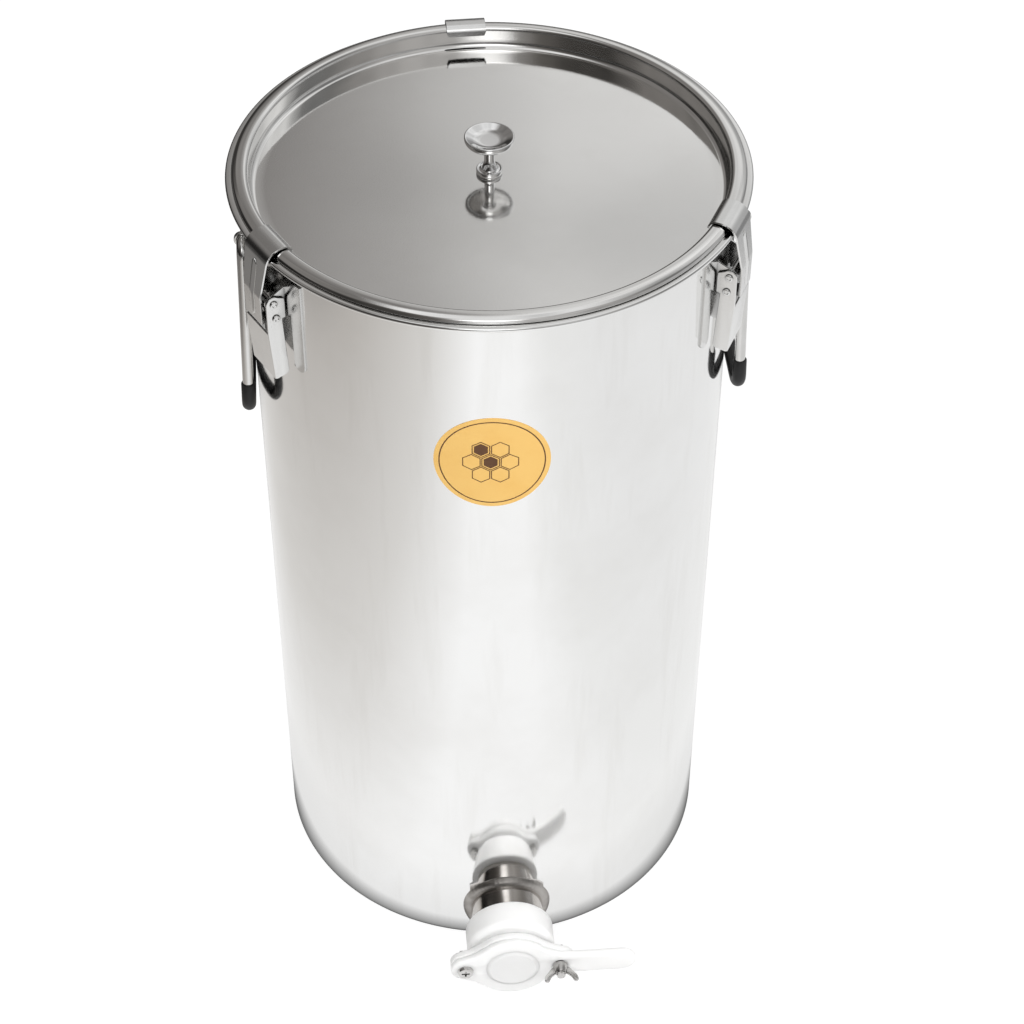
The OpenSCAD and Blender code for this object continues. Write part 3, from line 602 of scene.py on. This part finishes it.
def makeDrum(d):
    hem = d["hemT"] / 2
    hemR = d["rimR"] - hem
    under = d["rimZ"] - d["hemT"]
    # bandZ gives the mesh a ring just above the hole, under the weld
    neck = filletPath([(d["wallR"], d["bandZ"]), (d["wallR"], under), (hemR, under)], [d["neckBend"]])
    shoulder = filletPath([(hemR, d["rimZ"]), (d["wallIn"], d["rimZ"]), (d["wallIn"], d["bandZ"])],
                          [d["shoulderBend"]])
    bead = arcPoints((hemR, d["rimZ"] - hem), hem, -90, 90, 14)
    profile = [(d["wallR"], d["baseEdge"])] + neck + bead + shoulder + [(d["wallIn"], d["baseEdge"])]
    wall = lathe("drumWall", profile, largeTurn)
    near, far = d["cut"]
    cutter = lathe("cutter", [(0, near), (d["holeR"], near), (d["holeR"], far), (0, far)], 64, place=onTap)
    cut = wall.modifiers.new("hole", "BOOLEAN")
    cut.object = cutter
    cut.solver = "EXACT"
    view = bpy.context.evaluated_depsgraph_get()
    mesh = bpy.data.meshes.new_from_object(wall.evaluated_get(view))
    wall.modifiers.clear()
    wall.data = mesh
    bpy.data.objects.remove(cutter)
    dress(wall, "tank", "wall_steel", "tank_wall")
    corner = (d["wallR"] - d["cornerR"], d["cornerR"])
    pan = [(axisR, 0)] + arcPoints(corner, d["cornerR"], -90, 0, 10)
    pan += [(d["wallR"], d["baseEdge"]), (d["wallIn"], d["baseEdge"])]
    pan += arcPoints(corner, d["cornerR"] - d["sheet"], 0, -90, 10) + [(axisR, d["sheet"])]
    dress(lathe("basePan", pan, largeTurn), "tank", "wall_steel", "base_pan")


makeDrum(drum)

# Lid and knob

lid = dict(holeR=2.65, floorR=148.6, floorZ=580.6, rise=3.9, rings=24, bendR=4.0, crestZ=595.4,
           crestR=3.0, crestIn=155.6, crestOut=158.4, skirtR=163.4, skirtZ=592.5, skirtBend=160.2,
           skirtDrop=0.5, skirtRun=2.2, skirtFall=1.6, skirtRound=3.0, hemX=0.2, hemZ=0.1, sheet=1.0)
knob = dict(base=584.5, height=27.5, headR=16.0, bowl=8.4, bowlEdge=1.6, lip=0.7, lipRun=(0.2, 0.9),
            lipDrop=0.3, dishR=8.6, dish=2.9, dishRounds=(0.5, 18.0), neckR=3.3, neckFoot=1.8,
            neckRise=5.0, neckRounds=(0.6, 1.6, 12.0), footR=8.4, footH=3.4, footRound=0.6,
            groove=(0.8, 1.6), grooveDepth=0.7, boreR=2.5, bore=11.0)


def makeLid(d):
    def dome(r):
        return d["floorZ"] + d["rise"] * (1 - (r / d["floorR"]) ** 2)
    t = d["sheet"]
    radii = [d["holeR"] + (d["floorR"] - d["holeR"]) * i / d["rings"] for i in range(d["rings"])]
    floorBend = (d["floorR"], d["floorZ"] + d["bendR"])
    crestBend = (d["crestIn"], d["crestZ"] - d["crestR"])
    profile = [(r, dome(r)) for r in radii]
    profile += arcPoints(floorBend, d["bendR"], -90, 0, 10)
    profile += arcPoints(crestBend, d["crestR"], 180, 90, 10)
    skirt = [(d["crestOut"], d["crestZ"]), (d["skirtBend"], d["crestZ"] - d["skirtDrop"]),
             (d["skirtBend"] + d["skirtRun"], d["crestZ"] - d["skirtFall"]),
             (d["skirtR"] - d["hemX"], d["skirtZ"] - d["hemZ"])]
    profile += filletPath(skirt, [d["skirtRound"]] * 2, 5)
    profile += arcPoints((d["skirtR"] - t / 2, d["skirtZ"] - t / 2), t / 2, 30, -120, 5)
    profile += [(d["crestOut"], d["crestZ"] - t)]
    profile += arcPoints(crestBend, d["crestR"] - t, 90, 180, 8)
    profile += arcPoints(floorBend, d["bendR"] + t, 0, -90, 8)
    profile += [(r, dome(r) - t) for r in reversed(radii)]
    dress(lathe("lidPan", profile, largeTurn, sharpAngle=50), "lid", "lid_steel", "lid_pan")


def makeKnob(d):
    base = d["base"]
    top = base + d["height"]
    foot = d["footR"]
    step = base + d["footH"]
    turn = d["footRound"]
    neck = d["neckR"]
    outer, inner = d["groove"]
    outline = [(d["boreR"], base), (foot - turn, base), (foot, base + turn)]
    outline += arcPoints((foot - turn, step - turn), turn, 0, 90, 5)
    outline += filletPath([(foot - outer, step), (foot - inner, step - d["grooveDepth"]),
                           (neck + d["neckFoot"], step), (neck, step + d["neckRise"]),
                           (neck, top - d["bowl"])], d["neckRounds"], 7)
    steps = 12
    for i in range(1, steps + 1):  # the bowl under the head is a quarter ellipse
        t = math.pi / 2 * (1 - i / steps)
        drop = d["bowlEdge"] + (d["bowl"] - d["bowlEdge"]) * math.sin(t)
        outline.append((neck + (d["headR"] - neck) * math.cos(t), top - drop))
    edge = d["headR"] - d["lip"]
    start, end = d["lipRun"]
    outline += arcPoints((edge, top - d["lip"]), d["lip"], 0, 90, 5)
    outline += filletPath([(edge - start, top), (edge - end, top - d["lipDrop"]),
                           (d["dishR"], top - d["dish"]), (axisR, top - d["dish"])], d["dishRounds"], 10)
    outline += [(axisR, base + d["bore"]), (d["boreR"], base + d["bore"])]
    dress(lathe("lidKnob", outline, smallTurn, sharpAngle=45), "lid", "knob_chrome", "lid_knob")


makeLid(lid)
makeKnob(knob)
print("drum, lid and knob made")

# Tap

nipple = dict(innerRho=151.5, stubR=26.5, stubEnd=178.0, chamfer=0.5, threadR=23.9, threadEnd=190.0,
              boreR=20.0, pitch=2.0, threadDepth=0.9, root=0.15, crest=0.65)
weld = dict(stubR=26.4, outR=32.2, height=4.6, wallR=sizes["wallR"], segments=276, steps=9, ripples=58,
            waves=7, ripple=0.007, sink=0.4)
unionNut = dict(start=178.3, end=199.6, outR=32.0, edge=1.2, straight=4.0, round=11.0, boreR=24.05,
                collar=195.6, neckR=22.05)
tapBody = dict(tailStart=191.6, tailEnd=195.6, tailR=23.9, neckR=21.9, neckRun=2.0, flare=4.0,
               flareSink=0.6, flareRound=3.0, boreR=20.0, low=203.9, high=209.1, edge=1.2, discR=29.0,
               boltX=sizes["boltX"], lugR=10.5, lugAngle=68, waist=0.62, waistRound=12.0,
               waistPull=(0.5, 1.2), screwR=2.65, clampR=3.15)
tapGate = dict(low=209.4, high=214.4, edge=1.3, handleW=20.0, handleUp=0.6, endX=90.0, crownGap=16,
               lowGap=12, shoulderX=6.0, shoulderUp=0.6, handleX=22.0, shoulderRound=14.0, slotR=5.1,
               slotStep=1.5, screwR=2.58, bossR=19.0, bossH=1.2, bossSlope=2.4, bossSink=1.0,
               bossFoot=0.6, bossLift=0.1, bossFlat=4.0, bossRounds=(0.8, 1.6))
wingNut = dict(foot=214.7, hubR=5.5, hubH=7.0, hubWaist=(0.3, 2.5), hubNeck=(1.2, 0.6), boreR=3.08,
               span=25.0, tip=229.2, wingT=2.4, wingEdge=0.7, wingIn=3.6,
               wingRounds=(1.0, 4.0, 1.8, 1.8, 4.0, 0.0), boltX=sizes["boltX"])


def makeNipple(d):
    profile = [(d["boreR"], d["innerRho"]), (d["stubR"], d["innerRho"]),
               (d["stubR"], d["stubEnd"] - d["chamfer"]), (d["stubR"] - d["chamfer"], d["stubEnd"])]
    valley = d["threadR"] - d["threadDepth"]
    pitch = d["pitch"]
    z = d["stubEnd"]
    while z + pitch < d["threadEnd"]:
        profile += [(valley, z + pitch * d["root"]), (d["threadR"], z + pitch * d["crest"])]
        z += pitch
    profile += [(valley, d["threadEnd"]), (d["boreR"], d["threadEnd"])]
    piece = lathe("outletNipple", profile, tapTurn, place=onTap, sharpAngle=35)
    piece.data.materials.append(materials["nipple_steel"])  # a darker, browner steel: a brown weld heat tint plus painted shade for the dark surroundings it mirrors
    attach(piece, "tank")
    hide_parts("outlet_nipple")


def makeWeld(d):
    verts = []
    for s in range(d["segments"]):
        a = 2 * math.pi * s / d["segments"]
        swell = 1 + d["ripple"] * (math.sin(a * d["ripples"]) + math.sin(a * d["waves"]))  # a hand laid bead
        wide = (d["outR"] - d["stubR"]) * swell
        seat = math.sqrt(d["wallR"] ** 2 - ((d["stubR"] + wide) * math.cos(a)) ** 2) - d["sink"]
        for i in range(d["steps"] + 1):
            t = math.pi / 2 * i / d["steps"]
            r = d["stubR"] + wide * math.cos(t)
            verts.append((r * math.cos(a), r * math.sin(a), seat + d["height"] * swell * math.sin(t)))
    piece = meshObject("weldBead", verts, ringFaces(d["segments"], d["steps"] + 1, True))
    piece.data.transform(onTap)
    sharpen(piece, 60)
    piece.data.materials.append(materials["weld_steel"])
    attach(piece, "tank")


def makeUnionNut(d):
    edge = d["edge"]
    profile = [(d["boreR"], d["start"])] + arcPoints((d["outR"] - edge, d["start"] + edge), edge, -90, 0, 5)
    profile += filletPath([(d["outR"], d["start"] + d["straight"]), (d["outR"], d["end"]),
                           (d["neckR"], d["end"])], [d["round"]], 14)
    profile += [(d["neckR"], d["collar"]), (d["boreR"], d["collar"])]
    dress(lathe("unionNut", profile, tapTurn, place=onTap), "tank", "tap_plastic", "union_nut")


def waistPoints(start, end, pullX, pullY, d):
    middle = ((start[0] + end[0]) / 2 + pullX, (start[1] + end[1]) / 2 + pullY)
    return filletPath([start, middle, end], [d["waistRound"]])[1:-1]


def discSwell(d):
    return math.degrees(math.acos(d["boltX"] / d["discR"] * d["waist"]))


def bodyOutline(d):
    swell = discSwell(d)
    spread = d["lugAngle"]
    pullX, pullY = d["waistPull"]
    outline = []
    for side, turn in ((1, 0), (-1, 180)):
        lug = arcPoints((side * d["boltX"], 0), d["lugR"], turn - spread, turn + spread, 16)
        crown = arcPoints((0, 0), d["discR"], turn + swell, turn + 180 - swell, 20)
        far = math.radians(turn + 180 - spread)
        back = (d["lugR"] * math.cos(far) - side * d["boltX"], d["lugR"] * math.sin(far))
        outline += lug + waistPoints(lug[-1], crown[0], -side * pullX, -side * pullY, d)
        outline += crown + waistPoints(crown[-1], back, side * pullX, -side * pullY, d)
    return outline


def makeTapBody(d):
    outlines = [bodyOutline(d), circle((0, 0), d["boreR"], 64), circle((-d["boltX"], 0), d["screwR"], 24),
                circle((d["boltX"], 0), d["clampR"], 24)]
    face = plate("tapFace", outlines, d["low"], d["high"], d["edge"], onTap)
    inside = d["low"] + d["flareSink"]
    profile = [(d["boreR"], d["tailStart"]), (d["tailR"], d["tailStart"]), (d["tailR"], d["tailEnd"]),
               (d["neckR"], d["tailEnd"])]
    profile += filletPath([(d["neckR"], d["tailEnd"] + d["neckRun"]), (d["neckR"], d["low"]),
                           (d["neckR"] + d["flare"], inside)], [d["flareRound"]])
    profile += [(d["boreR"], inside)]
    neck = lathe("tapNeck", profile, smallTurn, place=onTap)
    dress(joinMeshes("tapBody", [face, neck]), "tank", "tap_plastic", "valve_body")


def gateOutline(d, body):
    disc = body["discR"]
    bolt = body["boltX"]
    slot = d["slotR"]
    half = d["handleW"] / 2
    top = d["handleUp"] + half
    low = d["handleUp"] - half
    swell = discSwell(body)
    topMeet = math.degrees(math.asin(top / disc)) + d["crownGap"]
    lowMeet = math.degrees(math.asin(low / disc)) - d["lowGap"]
    lug = arcPoints((-bolt, 0), body["lugR"], 180 - body["lugAngle"], 180 + body["lugAngle"], 18)
    crown = arcPoints((0, 0), disc, 180 - swell, topMeet, 26)
    belly = arcPoints((0, 0), disc, lowMeet, -180 + swell, 30)
    tip = arcPoints((d["endX"] - half, d["handleUp"]), half, 90, -90, 18)
    notch = arcPoints((bolt, 0), slot, 0, 180, 12)
    rise = filletPath([crown[-1], (disc + d["shoulderX"], top + d["shoulderUp"]), (disc + d["handleX"], top)],
                      [d["shoulderRound"]], 8)[1:]
    sink = [(bolt + slot, low)] + notch + [(bolt - slot, low + d["slotStep"])]
    blend = waistPoints(belly[-1], lug[-1], *body["waistPull"], body)
    join = [(x, -y) for x, y in reversed(blend)]
    return list(reversed(lug)) + join + crown + rise + tip + sink + belly + blend


def makeTapGate(d, body):
    outlines = [gateOutline(d, body), circle((-body["boltX"], 0), d["screwR"], 24)]
    leaf = plate("gateLeaf", outlines, d["low"], d["high"], d["edge"], onTap)
    face = d["high"]
    top = face + d["bossH"]
    footR = d["bossR"] + d["bossFoot"]
    flatR = d["bossR"] - d["bossSlope"]
    profile = [(axisR, face - d["bossSink"]), (footR, face - d["bossSink"])]
    profile += filletPath([(footR, face), (d["bossR"], face + d["bossLift"]), (flatR, top),
                           (flatR - d["bossFlat"], top)], d["bossRounds"], 5)
    profile += [(axisR, top)]
    boss = lathe("gateBoss", profile, smallTurn, place=onTap, sharpAngle=45)
    dress(joinMeshes("tapGate", [leaf, boss]), "gate", "tap_plastic", "valve_gate")


def makeWingNut(d):
    place = onTap @ Matrix.Translation((d["boltX"] * unit, 0, 0))
    foot = d["foot"]
    hubR = d["hubR"]
    hubTop = foot + d["hubH"]
    half = d["span"] / 2
    tip = d["tip"]
    waistIn, waistUp = d["hubWaist"]
    neckIn, neckDown = d["hubNeck"]
    profile = [(d["boreR"], foot), (hubR, foot), (hubR - waistIn, foot + waistUp),
               (hubR - neckIn, hubTop - neckDown), (hubR - neckIn - neckDown, hubTop), (d["boreR"], hubTop)]
    parts = [lathe("wingHub", profile, 48, place=place)]
    wing = [(d["wingIn"], foot + 1.5), (hubR + 0.6, foot + 2.2), (half - 0.6, tip - 5),
            (half + 0.2, tip - 0.8), (half - 3.2, tip), (half - 5.2, tip - 4.2), (d["wingIn"], hubTop - 0.2)]
    outline = filletPath(wing + wing[:1], d["wingRounds"])[1:]
    thick = d["wingT"] / 2
    for side in (1, -1):
        mirrored = [(side * x, y) for x, y in outline]
        parts.append(plate("wing", [mirrored], -thick, thick, d["wingEdge"], place @ upright))
    dress(joinMeshes("wingNut", parts), "wing", "fastener_steel", "wing_nut")


makeNipple(nipple)
makeWeld(weld)
makeUnionNut(unionNut)
makeTapBody(tapBody)
makeTapGate(tapGate, tapBody)
makeWingNut(wingNut)
print("tap made")

# Toggle latches, each made at azimuth 0 and turned to its place

latchPin = dict(spot=(165.7, 547.4), holeR=1.58)
hook = dict(lipEnd=(150.4, 590.4), lipR=152.4, lipZ=596.2, lipRound=5.0, lipCorner=1.2, bendIn=166.9,
            round=10.5, plateR=172.5, kneeZ=563.5, kneeRound=14.0, bendShare=0.62, endZ=542.4, sheet=1.2,
            half=13.3, neck=10.0, shoulderZ=591.6, taper=0.8, earR=3.8, earOut=0.6, earUp=1.2,
            earTurn=(-100, -260), earEdge=0.25, ribHalf=2.9, ribTip=0.2, ribHeight=0.9, ribTop=586.5,
            ribLow=545.5, ribSteps=24, ribSink=0.05)
lever = dict(pivot=(166.7, 558.5), earR=5.0, earStart=130, backR=158.9, backLow=1.0, backHigh=2.0,
             backLean=0.4, top=(171.8, 537.0), end=(169.1, 499.5), rise=2.0, notch=2.6, notchZ=545.5,
             rounds=(6.0, 1.6, 3.0, 0.8, 0.5), sheet=1.2, half=14.3, edge=0.35, faceIn=1.08,
             faceLow=0.6, faceHigh=0.4, faceGap=0.2)
rivet = dict(shankR=1.5, seat=14.6, headR=2.5, headT=0.25, crownR=1.9, crown=15.5, shoulder=(0.4, 0.15),
             cupR=1.2, cup=15.0)
hookEdge = 0.3
leverEdge = 0.35


def hookWidths(path, d):
    widths = []
    for r, z in path:
        share = min(max((z - d["kneeZ"]) / (d["shoulderZ"] - d["kneeZ"]), 0.0), 1.0)
        widths.append(d["neck"] + (d["half"] - d["neck"]) * share ** d["taper"])
    widths[0] -= d["lipCorner"]  # the lip ends in rounded corners
    return widths


def makeHookRib(d):
    slope = (d["plateR"] - d["bendIn"]) / (d["lipZ"] - d["kneeZ"])
    path = []
    widths = []
    for i in range(d["ribSteps"] + 1):
        t = i / d["ribSteps"]
        z = d["ribLow"] + (d["ribTop"] - d["ribLow"]) * t
        r = d["plateR"] if z < d["kneeZ"] else d["bendIn"] + slope * (d["lipZ"] - z)
        path.append((r + d["sheet"] - d["ribSink"], z))
        widths.append(d["ribTip"] + (d["ribHalf"] - d["ribTip"]) * math.sqrt(max(0.0, 1 - (2 * t - 1) ** 8)))
    return ridge("hookRib", path, widths, d["ribHeight"])


def makeHook(name, d, pin):
    corners = [d["lipEnd"], (d["lipR"], d["lipZ"]), (d["bendIn"], d["lipZ"]), (d["plateR"], d["kneeZ"]),
               (d["plateR"], d["endZ"])]
    path = filletPath(corners, [d["lipRound"], d["round"], d["kneeRound"]], 10, d["bendShare"])
    parts = [strip("hookStrip", path, hookWidths(path, d), d["sheet"]), makeHookRib(d)]
    pinR, pinZ = pin["spot"]
    earR = d["earR"]
    front = d["plateR"] + d["earOut"]
    ear = [(pinR, pinZ + earR), (front, pinZ + earR + d["earUp"]), (front, d["endZ"]), (pinR, pinZ - earR)]
    ear += arcPoints(pin["spot"], earR, *d["earTurn"], 10)
    outlines = [ear, circle(pin["spot"], pin["holeR"], 20)]
    for low in (d["neck"] - d["sheet"], -d["neck"]):
        parts.append(plate("hookCheek", outlines, low, low + d["sheet"], d["earEdge"], upright))
    return joinMeshes(name, parts)


def makeLever(name, d, pin):
    px, pz = d["pivot"]
    tx, tz = d["top"]
    ex, ez = d["end"]
    back = d["backR"]
    backZ = pz - d["backLow"]
    side = [(back, backZ), (back + d["backLean"], pz + d["backHigh"])]
    side += arcPoints(d["pivot"], d["earR"], d["earStart"], 0, 12)
    front = filletPath([(px + d["earR"], pz), (tx, tz), (ex, ez), (back, ez + d["rise"]),
                        (back + d["notch"], d["notchZ"]), (back, d["notchZ"]), (back, backZ)], d["rounds"])
    side += front[1:-1]
    outlines = [side] + [circle(spot, pin["holeR"], 20) for spot in (d["pivot"], pin["spot"])]
    parts = []
    for low in (d["half"] - d["sheet"], -d["half"]):
        parts.append(plate("leverSide", outlines, low, low + d["sheet"], d["edge"], upright))
    face = [(ex - d["faceIn"], ez + d["faceLow"]), (tx - d["sheet"], tz - d["faceHigh"])]
    parts.append(strip("leverFace", face, [d["half"] - d["faceGap"]] * 2, -d["sheet"]))
    return joinMeshes(name, parts)


def makeRivet(name, spot, azimuth, d):
    run, drop = d["shoulder"]
    half = [(d["shankR"], d["seat"]), (d["headR"], d["seat"]), (d["headR"], d["seat"] + d["headT"]),
            (d["crownR"] + run, d["crown"] - drop), (d["crownR"], d["crown"]), (d["cupR"] + run, d["crown"]),
            (d["cupR"], d["cup"]), (axisR, d["cup"])]
    profile = [(r, -y) for r, y in reversed(half)] + half
    place = turned(azimuth) @ Matrix.Translation((spot[0] * unit, 0, spot[1] * unit)) @ upright
    return lathe(name, profile, 32, place=place, sharpAngle=50)


def makeLatch(where, azimuth):
    pivot = makeRivet("pivotRivet_" + where, lever["pivot"], azimuth, rivet)
    dress(pivot, "tank", "latch_steel", "pivot_pin_" + where)
    pin = makeRivet("hookRivet_" + where, latchPin["spot"], azimuth, rivet)
    dress(pin, "lever_" + where, "latch_steel", "hook_pin_" + where)
    sheets = ((makeHook("latchHook_" + where, hook, latchPin), hookEdge, "hook_"),
              (makeLever("latchLever_" + where, lever, latchPin), leverEdge, "lever_"))
    for piece, edge, body in sheets:
        piece.data.transform(turned(azimuth))
        sharpen(piece)
        softEdges(piece, edge)
        dress(piece, body + where, "latch_steel", "latch_" + body + where)
    softEdges(nodes["latch_base_" + where], hookEdge)


for where, azimuth in latchAz.items():
    makeLatch(where, azimuth)
print("latches made")

# Bail handles

bail = dict(pivotX=157.8, pivotZ=570.0, length=133.0, lean=4.7, legY=50.0, gripBend=13.0, pivotBend=7.0,
            bendSteps=12, bendShare=0.6, rodR=3.6, gripR=4.6, sleeve=25.0, mouth=1.0, mouthCut=0.5,
            stubY=36.5, lugEdge=0.4)


def bailPath(d, points, bends):
    flat = filletPath(points, bends, d["bendSteps"], d["bendShare"])
    a = math.asin(d["lean"] / d["length"])
    return [(d["pivotX"] - h * math.sin(a), y, d["pivotZ"] + h * math.cos(a)) for y, h in flat]


def stepToward(start, end, step):
    return tuple(Vector(start) + (Vector(end) - Vector(start)).normalized() * step)


def makeBail(where, azimuth, d):
    leg = d["legY"]
    low = -d["length"]
    bottom = [(-leg, low), (leg, low)]
    legs = [(-d["stubY"], 0), (-leg, 0)] + bottom + [(leg, 0), (d["stubY"], 0)]
    rodPath = bailPath(d, legs, [d["pivotBend"], d["gripBend"], d["gripBend"], d["pivotBend"]])
    rod = tube("handleRod_" + where, rodPath, [d["rodR"]] * len(rodPath))
    mouth = low + d["sleeve"]
    path = bailPath(d, [(-leg, mouth)] + bottom + [(leg, mouth)], [d["gripBend"]] * 2)
    first = stepToward(path[0], path[1], d["mouth"])
    last = stepToward(path[-1], path[-2], d["mouth"])
    gripPath = [path[0], first] + path[1:-1] + [last, path[-1]]
    swell = [d["gripR"]] * len(gripPath)
    swell[0] = swell[-1] = d["gripR"] - d["mouthCut"]  # the sleeve's ends are rounded
    grip = tube("handleGrip_" + where, gripPath, swell)
    for piece, slot, node in ((rod, "rod_steel", "handle_rod_"), (grip, "grip_vinyl", "handle_grip_")):
        piece.data.transform(turned(azimuth))
        dress(piece, "handle_" + where, slot, node + where)
    softEdges(nodes["handle_lugs_" + where], d["lugEdge"])


for where, azimuth in handleAz.items():
    makeBail(where, azimuth, bail)
print("handles made")

# Label print

labelPrint = dict(ringOut=33.6, ringIn=32.8, ringSteps=120, cell=6.6, cellGap=0.5, line=0.7,
                  filled=(0, 3), inset=1.6, sideSteps=6, lift=0.06, centre=(-1.0, 0.5))


def onLabel(u, v, lift):
    a = math.radians(sizes["labelAz"]) + u / sizes["wallR"]
    r = sizes["wallR"] + sizes["labelT"] + lift
    return (r * math.cos(a), r * math.sin(a), sizes["labelZ"] + v)


def hexagon(centre, radius, steps):
    corners = arcPoints(centre, radius, 30, 330, 5)
    path = []
    for (x0, y0), (x1, y1) in zip(corners, corners[1:] + corners[:1]):
        path += [(x0 + (x1 - x0) * i / steps, y0 + (y1 - y0) * i / steps) for i in range(steps)]
    return path


def labelBands(d):
    bands = [(circle((0, 0), d["ringOut"], d["ringSteps"]), circle((0, 0), d["ringIn"], d["ringSteps"]))]
    pitch = d["cell"] * math.sqrt(3) + d["cellGap"]
    cells = [d["centre"]] + arcPoints(d["centre"], pitch, 0, 300, 5)
    for index, centre in enumerate(cells):
        radii = [(d["cell"], d["cell"] - d["line"])]
        if index in d["filled"]:
            radii.append((d["cell"] - d["inset"], axisR))
        bands += [[hexagon(centre, radius, d["sideSteps"]) for radius in pair] for pair in radii]
    return bands


def makeLabelPrint(d):
    verts = []
    faces = []
    for outer, inner in labelBands(d):
        start = len(verts)
        count = len(outer)
        verts += [onLabel(u, v, d["lift"]) for u, v in outer + inner]
        for i in range(count):
            j = (i + 1) % count
            faces.append((start + i, start + j, start + count + j, start + count + i))
    piece = meshObject("labelPrint", verts, faces)
    piece.data.materials.append(materials["label_ink"])
    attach(piece, "tank")


makeLabelPrint(labelPrint)
print("label printed")
